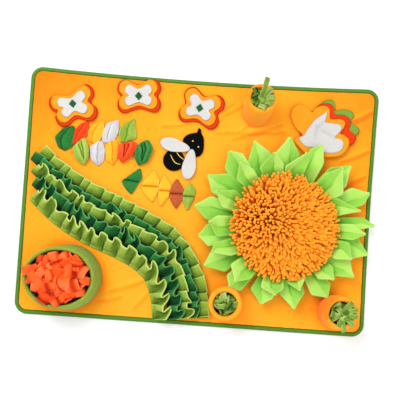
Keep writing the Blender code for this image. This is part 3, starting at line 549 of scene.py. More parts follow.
def buildBee():
    centre, corners = bee["head"]
    buildFelt("bee_head", "blackFelt", drawnOutline(corners), Vector(centre) / 1000, 0, edgeTint=0.0)
    *body, bodyRadius = bee["body"]
    buildFelt("bee_body", "blackFelt", turnedOutline(lambda angle: bodyRadius, body, 0), body, 0, edgeTint=0.0)
    halfLength, halfWidth, blunt = bee["wing"]

    def wingReach(angle):
        turn = math.radians(angle)
        narrow = halfWidth * (1 - blunt * (1 - math.cos(turn)) / 2)
        return 1 / math.hypot(math.cos(turn) / halfLength, math.sin(turn) / narrow)

    for name, x, y, turn, lift in bee["wings"]:
        buildFelt(name, "whiteFelt", turnedOutline(wingReach, (x, y), turn), (x, y), 1, lift=lift,
                  edgeTint=-0.30)
    # embroidered stripes and eyes, a fat yellow thread that stands a little proud of the felt
    bm = bmesh.new()
    high = feltSize["seat"] + feltSize["thickness"] + 0.0016
    for stripe in bee["stripes"]:
        addThread(bm, smoothCurve(stripe, 8), high, bee["thread"] / 2)
    for x, y in bee["eyes"]:
        ball = bmesh.ops.create_uvsphere(bm, u_segments=12, v_segments=8, radius=bee["eye"])["verts"]
        bmesh.ops.scale(bm, vec=(1, 1, 0.5), verts=ball)
        bmesh.ops.translate(bm, vec=(x, y, high + 0.0004), verts=ball)
    bmesh.ops.recalc_face_normals(bm, faces=bm.faces)
    finishPiece("beeStitches", bm, "stitchYellow", [], slot="yellow_felt")


def addThread(bm, line, high, radius):
    count = len(line) - 1

    def place(u, v):
        k = int(round(u * count))
        swell = radius * math.sin(math.pi * clamp(u * 0.92 + 0.04)) ** 0.25
        side = leftOf(line, k)
        turn = 2 * math.pi * v
        height = high + noise(Vector((line[k].x, line[k].y, 0.0)) * 60) * 0.0002
        return Vector((line[k].x + side.x * swell * math.cos(turn),
                       line[k].y + side.y * swell * math.cos(turn), height + swell * 0.7 * math.sin(turn)))

    clothGrid(bm, count, 8, place)
    closeSeams(bm)
    bmesh.ops.holes_fill(bm, edges=openEdges(bm))


def leftOf(line, k):
    heading = (line[min(k + 1, len(line) - 1)] - line[max(k - 1, 0)]).normalized()
    return Vector((-heading.y, heading.x))


buildFlowers()
buildBee()
print("felt flowers and bee")


leafSize = {"thickness": 0.002, "along": 24, "across": 18, "cut": (0.05, 0.035), "fold": 1.25}
# each leaf: foot, right side, tip and left side, in mm, the height of its fold, and its kind:
# folded over, an open cone with a deep slit, or sewn down across its middle
leaves = (
    ("leaf_a1_green", "darkGreenFleece", (-273, 82), ((-261, 90), (-254, 113)), (-260, 131),
     ((-287, 87), (-296, 107), (-280, 126)), 0.009, "folded"),
    ("leaf_a2_red", "redFleece", (-255, 94), ((-239, 105), (-229, 124)), (-231, 142),
     ((-260, 97), (-259, 119), (-245, 137)), 0.009, "folded"),
    ("leaf_a3_yellow", "yellowFleece", (-215, 98), ((-205, 107), (-198, 124)), (-200, 147),
     ((-227, 106), (-230, 124), (-217, 141)), 0.008, "folded"),
    ("leaf_a4_white", "whiteFleece", (-188, 103), ((-176, 109), (-169, 126)), (-171, 150),
     ((-199, 105), (-200, 123), (-193, 141)), 0.009, "folded"),
    ("leaf_a5_lime", "lightGreenFleece", (-153, 107), ((-131, 117),), (-138, 154),
     ((-163, 105), (-168, 127), (-159, 142)), 0.007, "folded"),
    ("leaf_a6_lime", "lightGreenFleece", (-245, 101), ((-257, 87), (-249, 66)), (-233, 55),
     ((-235, 109), (-226, 89), (-225, 70)), 0.011, "cone"),
    ("leaf_a7_white", "whiteFleece", (-208, 103), ((-224, 91), (-219, 66)), (-204, 56),
     ((-200, 105), (-193, 87), (-194, 66)), 0.009, "folded"),
    ("leaf_a8_yellow", "yellowFleece", (-183, 107), ((-192, 96), (-188, 68)), (-175, 59),
     ((-172, 110), (-165, 95), (-167, 73)), 0.008, "folded"),
    ("leaf_a9_red", "redFleece", (-150, 105), ((-165, 98), (-163, 72)), (-155, 65),
     ((-131, 107), (-128, 99), (-139, 78)), 0.010, "cone"),
    ("leaf_a10_green", "darkGreenFleece", (-119, 107), ((-130, 96), (-131, 76)), (-122, 62),
     ((-106, 113), (-96, 96), (-105, 70)), 0.011, "cone"),
    ("leaf_b1_green", "darkGreenFleece", (-133, 3), ((-114, 35),), (-119, 54), ((-144, 13), (-155, 27)),
     0.007, "sewn"),
    ("leaf_b2_yellow", "yellowFleece", (-90, -10), ((-79, 15), (-79, 32)), (-90, 52),
     ((-106, 5), (-115, 20), (-104, 36)), 0.007, "sewn"),
    ("leaf_b3_yellow", "yellowFleece", (-73, -17), ((-59, 2), (-54, 24)), (-69, 44), ((-78, -2), (-78, 23)),
     0.007, "sewn"),
    ("leaf_b4_rust", "rustFleece", (-41, -20), ((-29, 2), (-29, 19)), (-43, 38), ((-54, -2), (-57, 17)),
     0.007, "sewn"),
    ("leaf_b5_lime", "lightGreenFleece", (-19, -22), ((-7, 3), (-5, 20)), (-16, 32), ((-28, -3), (-28, 14)),
     0.007, "sewn"),
)


def measure(line):
    lengths = [0.0]
    for near, far in zip(line, line[1:]):
        lengths.append(lengths[-1] + (far - near).length)
    return lengths


def alongSide(stops, share):
    # a place on a broken line, its corners a little rounded
    lengths = measure(stops)
    spots = []
    for near in (share - 0.035, share, share + 0.035):
        distance = clamp(near) * lengths[-1]
        k = 0
        while k < len(stops) - 2 and lengths[k + 1] < distance:
            k += 1
        spots.append(stops[k].lerp(stops[k + 1], (distance - lengths[k]) / (lengths[k + 1] - lengths[k])))
    return sum(spots, Vector((0, 0, 0))) / 3


def buildLeaf(name, fleece, foot, right, tip, left, fold, kind):
    bm = bmesh.new()
    rightSide, leftSide = ([Vector((*spot, 0)) / 1000 for spot in (foot, *side, tip)]
                           for side in (right, left))
    drift = sum(map(ord, name))
    chance = random.Random(name)
    lineAt, slant = chance.uniform(0.35, 0.62), chance.uniform(-0.25, 0.25)

    def crease(u):
        return lineAt + slant * (u - 0.5)

    def place(u, v):
        spot = alongSide(rightSide, u).lerp(alongSide(leftSide, u), v)
        middle = crease(u)
        off = (v - middle) / (middle if v < middle else 1 - middle)
        body = math.sin(math.pi * clamp(u * 0.94 + 0.03))
        if kind == "sewn":
            away = abs(u - 0.5)
            height = fold * 3.6 * away * (1.05 - 2 * away) * (1 - (2 * v - 1) ** 2) ** 0.6 + 0.0008
        elif kind == "cone":
            gape, aside = 0.16 + 0.50 * (1 - u), abs(off)
            height = fold * body ** 0.6 * min(1.0, aside / gape) ** 0.7 * (1 - max(0.0, aside - 0.6)) + 0.001
            height += 0.7 * fold * body * max(0.0, 1 - 2.4 * aside / gape)
        else:
            height = fold * body ** 0.7 * (1 - abs(off) ** 1.4 * 0.85) * (1.15 if v < middle else 0.8)
        height += 0.0012 * noise(Vector((u * 2.2, v * 2.0, drift)))
        spot.z = feltSize["seat"] + max(0.0, height)
        return spot

    def shade(u, v):
        middle = crease(u)
        edge = 0.16 if min(v, 1 - v) < 0.06 else 0.0
        if kind == "sewn":
            return edge - 0.60 * bell(u, 0.5, 0.035)
        if kind == "cone":
            gape = 0.04 + 0.12 * (1 - u)
            inside = bell(abs(v - middle), gape, 0.045) * min(1.0, (1.08 - u) * 2.5)
            lip = 0.20 * bell(abs(v - middle), gape * 2.2, 0.05)
            return edge + lip - 0.75 * inside
        return edge - 0.34 * bell(v - middle, 0.03, 0.04) - (0.12 if v > middle else 0.0)

    clothGrid(bm, leafSize["along"], leafSize["across"], place, flat=leafSize["cut"], tint=shade)
    closeSeams(bm)
    faceUp(bm)
    piece = finishPiece(pieceName(name), bm, fleece, [name])
    addWall(piece, "fleece thickness", leafSize["thickness"])


for leaf in leaves:
    buildLeaf(*leaf)
print("leaves")


bandRoute = ((-0.336, 0.039), (-0.297, 0.008), (-0.250, -0.022), (-0.195, -0.048), (-0.138, -0.069),
             (-0.088, -0.092), (-0.050, -0.122), (-0.027, -0.160), (-0.014, -0.200), (-0.009, -0.237))
bandSize = {"middleAt": 0.4, "pitch": 0.025, "thickness": 0.0018, "samples": 24, "rows": 9}
# each ribbon: where its sewn edge runs beside that route at its start, middle and end, where it starts,
# lean, height, half depth of its pleats, how far they spring open (least and most) and its flat hem
ribbons = (
    ("ribbon_1_light", "lightGreenFleece", 0.029, 0.030, 0.025, -0.010, 0.022, 0.010, 0.005,
     (0.0, 0.15), 0.0),
    ("ribbon_2_dark", "darkGreenFleece", 0.013, 0.011, 0.008, -0.016, 0.018, 0.014, 0.006,
     (-0.5, 0.9), 0.0),
    ("ribbon_3_light", "lightGreenFleece", -0.004, -0.009, -0.011, 0.002, 0.022, 0.018, 0.007,
     (-0.3, 1.4), 0.0),
    ("ribbon_4_dark", "darkGreenFleece", -0.020, -0.032, -0.033, 0.022, 0.024, 0.020, 0.007,
     (-0.1, 1.4), 0.0),
    ("ribbon_5_light", "lightGreenFleece", -0.036, -0.054, -0.057, 0.038, 0.022, 0.021, 0.007,
     (0.4, 1.5), 0.007),
)


def pointAlong(line, lengths, distance):
    k = 0
    while k < len(line) - 2 and lengths[k + 1] < distance:
        k += 1
    share = (distance - lengths[k]) / (lengths[k + 1] - lengths[k])
    spot = line[k] + (line[k + 1] - line[k]) * share
    side = leftOf(line, k).lerp(leftOf(line, k + 1), clamp(share)).normalized()
    return spot, side


def sewnLine(near, middle, far, start):
    middleLine = smoothCurve(bandRoute, 6)
    lengths = measure(middleLine)
    total = lengths[-1]
    line = []
    for k in range(61):
        distance = start + (total - start) * k / 60
        share = max(0.0, distance / total)
        if share < bandSize["middleAt"]:
            offset = near + (middle - near) * math.sin(share / bandSize["middleAt"] * math.pi / 2)
        else:
            offset = middle + (far - middle) * (share - bandSize["middleAt"]) / (1 - bandSize["middleAt"])
        spot, side = pointAlong(middleLine, lengths, distance)
        line.append(spot + side * offset)
    return line


def smoothed(values):
    return [(a + 2 * b + c) / 4 for a, b, c in zip(values[:1] + values, values, values[1:] + values[-1:])]


def buildRibbon(name, fleece, near, middle, far, start, lean, height, depth, pressed, hem):
    line = sewnLine(near, middle, far, start)
    lengths = measure(line)
    total = lengths[-1]
    pleats = int(total / bandSize["pitch"])
    pitch = total / pleats
    chance = random.Random(name)
    tilts = [chance.uniform(-1, 1) for _ in range(pleats + 2)]
    sizes = [chance.uniform(0.88, 1.08) for _ in range(pleats + 2)]
    swings = smoothed([chance.uniform(0.30, 1.75) for _ in range(pleats + 2)])
    starts = [k + chance.uniform(-0.24, 0.24) for k in range(pleats + 1)]
    starts[0], starts[-1] = 0.0, float(pleats)
    bends = smoothed([chance.uniform(-1, 1) for _ in range(pleats + 2)])
    faceTilt = math.atan2(height, lean)
    reachLip = lean + 0.004

    def openness(share):
        # how far the pleats have sprung open, by where they are along the ribbon
        springy = 0.5 + 0.4 * math.sin(share * 24 + tilts[0] * 6)
        springy += 0.7 * noise(Vector((share * 13, tilts[1] * 5, 0.0)))
        springy += (0.5 if pressed[1] > 0.5 else 0.0) * (max(0.0, 0.14 - share) + max(0.0, share - 0.84)) / 0.14
        return clamp(pressed[0] + (pressed[1] - pressed[0]) * springy)

    def place(u, v):
        k = min(pleats - 1, int(u * pleats))
        w = u * pleats - k
        size = sizes[k] + (sizes[k + 1] - sizes[k]) * w
        swing = swings[k] + (swings[k + 1] - swings[k]) * w
        # pressed: each face's near edge lies over the end of the last one, and its far end tucks under
        if w < 0.72:
            t = w / 0.72
            along1 = -0.05 + 1.01 * t
            out1 = (1 - t) ** 1.3 + 0.25 * math.sin(math.pi * t)
        elif w < 0.84:
            t = (w - 0.72) / 0.12
            along1 = 0.96 + 0.12 * t
            out1 = -0.35 * t
        else:
            t = (w - 0.84) / 0.16
            along1 = 1.08 - 0.13 * t
            out1 = -0.35 + 1.35 * t
        # sprung open: an S that overhangs itself
        phase = 2 * math.pi * (w - 0.12)
        out2 = math.cos(phase)
        bend = bends[k] + (bends[k + 1] - bends[k]) * w
        along2 = w + (0.22 + 0.22 * bend) * out2 * v + 0.05 * math.sin(2 * phase)
        out2 *= swing
        spring = openness(u) * v ** 0.6
        along = along1 * (1 - spring) + along2 * spring
        out = 0.0042 * out1 * (0.35 + 0.65 * v) * (1 - spring) + depth * 1.5 * out2 * (0.15 + 0.85 * v) * spring
        # the cloth wanders a little, more at its free edge
        wander = noise(Vector((u * total * 38, v * 0.8, tilts[0] * 9)))
        along += (0.16 * wander + 0.10 * tilts[k] * math.sin(math.pi * w)) * v
        out += 0.0022 * noise(Vector((u * total * 60, v * 1.5, tilts[1] * 9))) * v
        reachedAt = (starts[k] + (starts[k + 1] - starts[k]) * along) * pitch
        spot, side = pointAlong(line, lengths, min(total, max(0.0, reachedAt)))
        if hem and v < 0.25:
            flat = 1 - v / 0.25
            return Vector((spot.x - side.x * hem * flat, spot.y - side.y * hem * flat,
                           feltSize["seat"] + 0.001 + 0.0006 * math.sin(2 * math.pi * w)))
        climb = (v - 0.25) / 0.75 if hem else v
        bow = 0.0022 * math.sin(math.pi * climb)
        reach = reachLip * climb * size - math.sin(faceTilt) * (out + bow)
        rise = height * climb ** 0.85 * size + math.cos(faceTilt) * (out * (1 - 0.5 * spring) + bow)
        return Vector((spot.x + side.x * reach, spot.y + side.y * reach,
                       feltSize["seat"] + 0.001 + max(0.0, rise)))

    def shade(u, v):
        w = u * pleats % 1
        if v > 0.97:
            return 0.48
        spring = openness(u) * v ** 0.6
        deep = -0.62 if w > 0.74 else -0.34 * (w / 0.72) ** 3
        lifted = 0.26 * bell(w, 0.0, 0.05)
        wave = 0.22 * math.cos(2 * math.pi * (w - 0.12)) - 0.16
        return (deep + lifted) * (1 - spring) + wave * spring - 0.42 * (1 - v) ** 1.6 * (0.15 if hem else 1.0)

    bm = bmesh.new()
    flat = (total * 1.35, math.hypot(reachLip, height) + hem)
    clothGrid(bm, pleats * bandSize["samples"], bandSize["rows"], place, flat=flat, tint=shade)
    piece = finishPiece(pieceName(name), bm, fleece, [name])
    addWall(piece, "fleece thickness", bandSize["thickness"], offset=0.0)


for ribbon in ribbons:
    buildRibbon(*ribbon)
print("pleated band")


# middle, foot radius, lip radii along X and Y, lean, height, wall, roll of the lip
tubes = {
    "cup_wall": ("cupFleece", -0.243, -0.172, 0.065, 0.070, 0.060, -0.014, -0.002, 0.060, 0.003, 0.0040),
    "pot_1_wall": ("orangeFleece", 0.107, 0.183, 0.028, 0.029, 0.029, 0.006, 0.021, 0.064, 0.003, 0.0042),
    "pot_2_wall": ("orangeFleece", 0.071, -0.2, 0.032, 0.032, 0.032, -0.003, -0.002, 0.062, 0.003, 0.0048),
    "pot_3_wall": ("orangeFleece", 0.285, -0.203, 0.032, 0.032, 0.032, 0.007, -0.001, 0.064, 0.003, 0.0048),
}


def buildTube(name):
    fleece, x, y, foot, lipX, lipY, leanX, leanY, height, wall, roll = tubes[name]
    bm = bmesh.new()
    drift = random.Random(name).uniform(0, 9)

    def place(u, v):
        # u runs up the outside, over the rolled lip and down the inside
        angle = 2 * math.pi * v
        wave = 0.0012 * math.sin(3 * angle)
        soft = noise(Vector((math.cos(angle) * 1.6, math.sin(angle) * 1.6, drift + 2.5 * u)))
        if u < 0.42:
            share = u / 0.42
            inward, level = -0.0015 * math.sin(math.pi * share), share * (height - roll)
        elif u < 0.58:
            turn = (u - 0.42) / 0.16 * math.pi
            inward = roll - roll * math.cos(turn)
            level = height - roll + roll * math.sin(turn)
            share = 1.0
        else:
            share = 1 - (u - 0.58) / 0.42
            inward, level = wall + (2 * roll - wall) * share ** 4, share * (height - roll)
        inward += 0.0010 * soft * math.sin(math.pi * min(1.0, 2 * min(u, 1 - u) + 0.2))
        up = level / height
        radiusX = foot + (lipX - foot) * up - inward
        radiusY = foot + (lipY - foot) * up - inward
        return Vector((x + radiusX * math.cos(angle) + leanX * up, y + radiusY * math.sin(angle) + leanY * up,
                       feltSize["seat"] + level + wave * up))

    def shade(u, v):
        # painted shade: the inside of the wall is painted darker
        if u > 0.52:
            return -0.28 * min(1.0, (u - 0.52) / 0.12)
        angle = 2 * math.pi * v
        # painted shade: pots 1 and 3 are painted deeper orange-red on their left side; the outside is also
        # darker towards its foot
        paintedSideShade = {"pot_1_wall": 0.22 * min(1.0, u / 0.45) ** 4, "pot_3_wall": 0.32}.get(name, 0.0)
        seam = 0.10 * bell(u, 0.12, 0.012) + 0.08 * bell(u, 0.22, 0.012)
        return 0.14 - 0.10 * (1 - min(1.0, u / 0.30)) - paintedSideShade * max(0.0, math.cos(angle - 2.8)) - seam

    clothGrid(bm, 36, 96, place, flat=(2 * height, 2 * math.pi * foot), tint=shade)
    closeSeams(bm)
    # join the foot of the outside to the foot of the inside
    bmesh.ops.bridge_loops(bm, edges=openEdges(bm))
    bmesh.ops.recalc_face_normals(bm, faces=bm.faces)
    piece = finishPiece(pieceName(name), bm, fleece, [name])


for tubeName in tubes:
    buildTube(tubeName)
print("cup and pots")


# a strip is cut from fleece this thick
stripCloth = 0.0022
# each strip of a heap is turned by this much from the last one, so they spread evenly
goldenTurn = 2.39996


def addStrip(bm, stops, width, around, tint, steps, twist=0.0, looped=False, edge=0.12, folds=0.0):
    # one cut strip of fleece along a smooth line through its stops, with folds that run along it
    line = smoothCurve(stops, steps)
    count = len(line) - 1

    def wave(u, v):
        return math.sin(2 * math.pi * (folds * (v + 0.25 * u) + 7 * folds))

    def place(u, v):
        k = min(count, int(round(u * count)))
        heading = (line[min(count, k + 1)] - line[max(0, k - 1)]).normalized()
        across = (around - heading * around.dot(heading)).normalized()
        if twist:
            other = heading.cross(across)
            across = across * math.cos(twist * u) + other * math.sin(twist * u)
        normal = heading.cross(across)
        cup = 0.10 * width * (1 - (2 * v - 1) ** 2) + (0.0013 * wave(u, v) if folds else 0.0)
        return line[k] + across * width * (v - 0.5) + normal * cup

    def shade(u, v):
        # painted shade: a loop is painted dark where it turns down at its ends and in the troughs of its folds,
        # and its cut edges get a painted highlight
        sunk = max(0.0, abs(u - 0.5) - 0.14) / 0.36 if looped else 0.0
        trough = max(0.0, -wave(u, v)) ** 2 if folds else 0.0
        return tint + (edge if v in (0.0, 1.0) else 0.0) - 0.75 * sunk - 0.48 * trough

    faces = clothGrid(bm, count, 10 if folds else 4, place, flat=(0.05, width), tint=shade)
    giveThickness(bm, faces, stripCloth)


def addLoop(bm, foot, up, heading, top, span, width, chance, tint, edge, folds):
    # a strip sewn down at both ends, so its rounded top shows as a soft square from above
    out = wayTo(heading)
    sideways = Vector((-out.y, out.x, chance.uniform(-0.45, 0.45))).normalized()
    tilt = Vector((0, 0, chance.uniform(-0.22, 0.22) * span))
    crest = foot + up * top
    stops = (foot - out * span * 0.30, crest - out * span * 0.50 - up * span * 0.55 - tilt,
             crest - out * span * 0.28 - tilt * 0.5, crest + out * span * 0.28 + tilt * 0.5,
             crest + out * span * 0.50 - up * span * 0.55 + tilt, foot + out * span * 0.30)
    addStrip(bm, stops, width, sideways, tint, 3, twist=chance.uniform(-0.35, 0.35), looped=True,
             edge=edge, folds=folds)


def keepInside(bm, middle, up, radiusX, radiusY, rim):
    # below the rim nothing comes through the wall
    for vert in bm.verts:
        level = vert.co.z - middle.z
        if level > rim:
            continue
        axis = middle + up * level
        offX, offY = vert.co.x - axis.x, vert.co.y - axis.y
        beyond = math.hypot(offX / radiusX, offY / radiusY)
        if beyond > 1:
            vert.co.x = axis.x + offX / beyond
            vert.co.y = axis.y + offY / beyond


stuffing = {"middle": (-0.243, -0.172), "lean": (-0.014, -0.002), "height": 0.060, "radii": (0.052, 0.046),
            "strips": 48, "width": (0.014, 0.028), "span": (0.020, 0.038), "crown": 0.009, "ruffles": 11,
            "heap": (0.057, 0.051, 0.020, 0.055), "room": (0.0595, 0.0535, 0.056)}
potSize = {"strips": 16, "radius": 0.019, "heap": (0.022, 0.022, 0.020), "room": 0.0225}


def addHeap(bm, centre, radiusX, radiusY, low, high, tint):
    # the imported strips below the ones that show, as one soft lump
    def place(u, v):
        turn = 2 * math.pi * v
        spread = math.sin(u * math.pi / 2)
        height = low + (high - low) * (1 - u ** 3) + 0.0015 * noise(Vector((u * 6, v * 9, high * 90)))
        return centre + Vector((radiusX * spread * math.cos(turn), radiusY * spread * math.sin(turn), height))

    # painted shade: the lump is painted dark, as it lies in shade under the strips
    clothGrid(bm, 10, 40, place, tint=lambda u, v: tint)
    closeSeams(bm)
    bmesh.ops.holes_fill(bm, edges=openEdges(bm))


def addRuffle(bm, spot, heading, chance):
    # a gathered strip that stands on its edge, its faces painted with shade and its rim with a painted
    # highlight, so its rim shows from above as a pale wavy line
    out = wayTo(heading)
    aside = Vector((-out.y, out.x, 0.0))
    stops = [spot + out * 0.0066 * (k - 2) + aside * (0.0026 if k % 2 else -0.0026) * chance.uniform(0.4, 1.3)
             - Vector((0, 0, 0.0012 * (k - 2) ** 2)) for k in range(5)]
    addStrip(bm, stops, 0.014, Vector((chance.uniform(-0.3, 0.3), chance.uniform(-0.3, 0.3), 1.0)),
             chance.uniform(-0.40, -0.20), 4, edge=0.42)


def buildStuffing():
    bm = bmesh.new()
    chance = random.Random(23)
    middle = Vector((*stuffing["middle"], 0.0046))
    lean = Vector((*stuffing["lean"], 0.0)) / stuffing["height"]
    up = Vector((0, 0, 1)) + lean
    addHeap(bm, middle + Vector((stuffing["lean"][0] * 0.8, 0, 0)), *stuffing["heap"], -0.20)
    count = stuffing["strips"]
    for k in range(count):
        away = math.sqrt((count - k - 0.5) / count)      # the rim's strips first, the crown's last
        angle = goldenTurn * k
        foot = middle + Vector((math.cos(angle) * stuffing["radii"][0] * away,
                                math.sin(angle) * stuffing["radii"][1] * away, 0.004))
        top = 0.058 + stuffing["crown"] * (1 - away ** 2) + chance.uniform(-0.005, 0.005)
        addLoop(bm, foot, up, chance.uniform(0, 6.28), top,
                chance.uniform(*stuffing["span"]) * (1.1 - 0.5 * away), chance.uniform(*stuffing["width"]),
                chance, chance.uniform(-0.16, 0.18), 0.12,
                chance.uniform(0.5, 1.5) if k % 3 else 0.0)
    for k in range(stuffing["ruffles"]):
        away = math.sqrt((k + 0.5) / stuffing["ruffles"])
        angle = goldenTurn * k + 1.0
        heading = chance.uniform(0, 6.28)
        for j in range(3):
            level = 0.0595 + stuffing["crown"] * (1 - away ** 2) + chance.uniform(-0.001, 0.002)
            spot = middle + up * level
            spot += Vector((math.cos(angle) * 0.042 * away, math.sin(angle) * 0.037 * away, 0.0))
            aside = Vector((-math.sin(heading), math.cos(heading), 0.0)) * 0.0052 * (j - 1)
            addRuffle(bm, spot + aside, heading + chance.uniform(-0.2, 0.2), chance)
    keepInside(bm, middle, up, *stuffing["room"])
    # one flap hangs out over the rim
    for shift, reach, drop in ((0.010, 0.084, 0.0), (-0.008, 0.076, 0.003)):
        stops = (middle + Vector((-0.030, shift, 0.030)), middle + Vector((-0.052, shift, 0.060)),
                 middle + Vector((-0.068, shift, 0.067 - drop)),
                 middle + Vector((-reach, shift * 0.6, 0.061 - drop)))
        addStrip(bm, stops, 0.019, Vector((0.1, 1.0, 0.1)), 0.02, 4)
    piece = finishPiece("cupStuffing", bm, "stuffingFleece", ["cup_stuffing"])


# each pot's grass: middle, lean over the height, height, and the strips that spill out of it, each by
# its side, reach and end height
grasses = (
    ("pot_1_grass", 0.107, 0.183, (0.006, 0.021), 0.064,
     ((78, 0.036, 0.092), (0, 0.025, 0.074), (330, 0.024, 0.070), (40, 0.025, 0.074))),
    ("pot_2_grass", 0.071, -0.200, (-0.003, -0.002), 0.062, ((120, 0.019, 0.068),)),
    ("pot_3_grass", 0.285, -0.203, (0.007, -0.001), 0.064,
     ((282, 0.036, 0.066), (262, 0.030, 0.066), (318, 0.032, 0.069), (350, 0.031, 0.070), (18, 0.032, 0.071),
      (50, 0.030, 0.070), (215, 0.022, 0.068))),
)


def buildGrass(node, x, y, leaning, height, spills):
    bm = bmesh.new()
    chance = random.Random(node)
    middle = Vector((x, y, 0.0046))
    lean = Vector((*leaning, 0.0)) / height
    up = Vector((0, 0, 1)) + lean
    addHeap(bm, middle + lean * height * 0.7, *potSize["heap"], height - 0.020, -0.60)
    count, radius = potSize["strips"], potSize["radius"]
    for k in range(count):
        away = math.sqrt((count - k - 0.5) / count) * radius
        angle = goldenTurn * k
        foot = middle + Vector((math.cos(angle) * away, math.sin(angle) * away, 0.004))
        top = height - 0.006 + 0.008 * (1 - away / radius) + chance.uniform(-0.009, 0.004)
        addLoop(bm, foot, up, chance.uniform(0, 6.28), top, chance.uniform(0.012, 0.018),
                chance.uniform(0.009, 0.013), chance, chance.uniform(-0.28, 0.18), 0.30,
                chance.uniform(0.6, 1.4) if k % 2 else 0.0)
    keepInside(bm, middle, up, potSize["room"], potSize["room"], height - 0.004)
    for side, out, top in spills:
        way = wayTo(math.radians(side))
        over = lean * height
        stops = (middle + Vector((0, 0, 0.03)),
                 middle + over * 0.8 + way * out * 0.3 + Vector((0, 0, top - 0.008)),
                 middle + over + way * out * 0.7 + Vector((0, 0, top)),
                 middle + over + way * out + Vector((0, 0, top - 0.005)))
        addStrip(bm, stops, chance.uniform(0.009, 0.012), Vector((-way.y, way.x, chance.uniform(-0.5, 0.5))),
                 chance.uniform(-0.10, 0.10), 5, edge=0.25)
    piece = finishPiece(pieceName(node), bm, "grassFleece", [node])


buildStuffing()
for grass in grasses:
    buildGrass(*grass)
print("stuffing and grass")


sunflower = {
    "middle": (0.176, -0.042), "foot": 0.088, "petalCloth": 0.0022, "petalCut": (0.056, 0.095),
    "outer": {"low": 0.0048, "middleRise": 0.013, "tipRise": 0.028, "fold": 0.008},
    "inner": {"low": 0.0085, "middleRise": 0.022, "tipRise": 0.041, "fold": 0.008},
    "padRadius": 0.096, "padEdge": 0.010, "padDome": 0.026, "padFoot": 0.86, "padLow": 0.0045,
    "locks": 1480, "lockRadius": 0.0025, "lockLength": 0.025, "lockTurn": 2.399963, "parting": (0.151, -0.029),
}
# each petal: its foot's two angles, then its right side, tip and left side as angle and distance in mm,
# and where its crease lies across it
outerPetals = (
    (137, 163, (138, 149), (150, 183), (159, 159), 0.55),
    (118, 143, (123, 167), (130, 185), (140, 165), 0.35),
    (100, 126, (103, 149), (113, 181), (126, 141), 0.55),
    (78, 102, (81, 149), (90, 179), (101, 147), 0.35),
    (56, 80, (61, 150), (68, 180), (75, 166), 0.75),
    (38, 62, (36, 147), (46, 180), (56, 150), 0.60),
    (14, 38, (19, 166), (25, 183), (34, 156), 0.35),
    (-6, 18, (1, 147), (4, 180), (11, 157), 0.50),
    (-28, 0, (-24, 143), (-15, 174), (-3, 146), 0.65),
    (-46, -22, (-44, 132), (-33, 169), (-23, 146), 0.40),
    (-68, -44, (-65, 146), (-55, 165), (-47, 146), 0.60),
    (-92, -66, (-91, 133), (-80, 164), (-69, 138), 0.40),
    (-114, -90, (-115, 141), (-103, 161), (-95, 145), 0.45),
    (-138, -112, (-136, 150), (-128, 164), (-120, 155), 0.60),
    (-160, -136, (-158, 152), (-150, 178), (-138, 148), 0.50),
    (-182, -156, (-178, 153), (-170, 171), (-161, 157), 0.55),
    (158, 184, (161, 157), (171, 183), (179, 157), 0.40),
)
innerPetals = (
    (146, 170, (147, 122), (157, 153), (167, 130), 0.45),
    (118, 140, (122, 130), (129, 154), (140, 132), 0.60),
    (92, 118, (94, 126), (102, 148), (117, 127), 0.40),
    (70, 94, (73, 138), (77, 152), (93, 120), 0.65),
    (32, 60, (32, 134), (49, 163), (57, 132), 0.50),
    (12, 34, (15, 122), (15, 153), (33, 120), 0.60),
    (-12, 10, (-8, 138), (-2, 160), (6, 136), 0.45),
    (-34, -8, (-29, 122), (-23, 146), (-10, 132), 0.60),
    (-56, -32, (-54, 124), (-44, 142), (-36, 126), 0.45),
    (-86, -60, (-84, 112), (-74, 130), (-66, 114), 0.55),
    (-112, -84, (-108, 130), (-95, 138), (-87, 124), 0.40),
    (-142, -112, (-141, 131), (-128, 148), (-119, 126), 0.55),
    (-166, -140, (-163, 144), (-156, 154), (-147, 122), 0.45),
    (168, 196, (175, 136), (181, 151), (193, 137), 0.55),
)


def polarSpot(angle, distance):
    turn = math.radians(angle)
    return Vector((sunflower["middle"][0] + distance * math.cos(turn),
                   sunflower["middle"][1] + distance * math.sin(turn), 0.0))


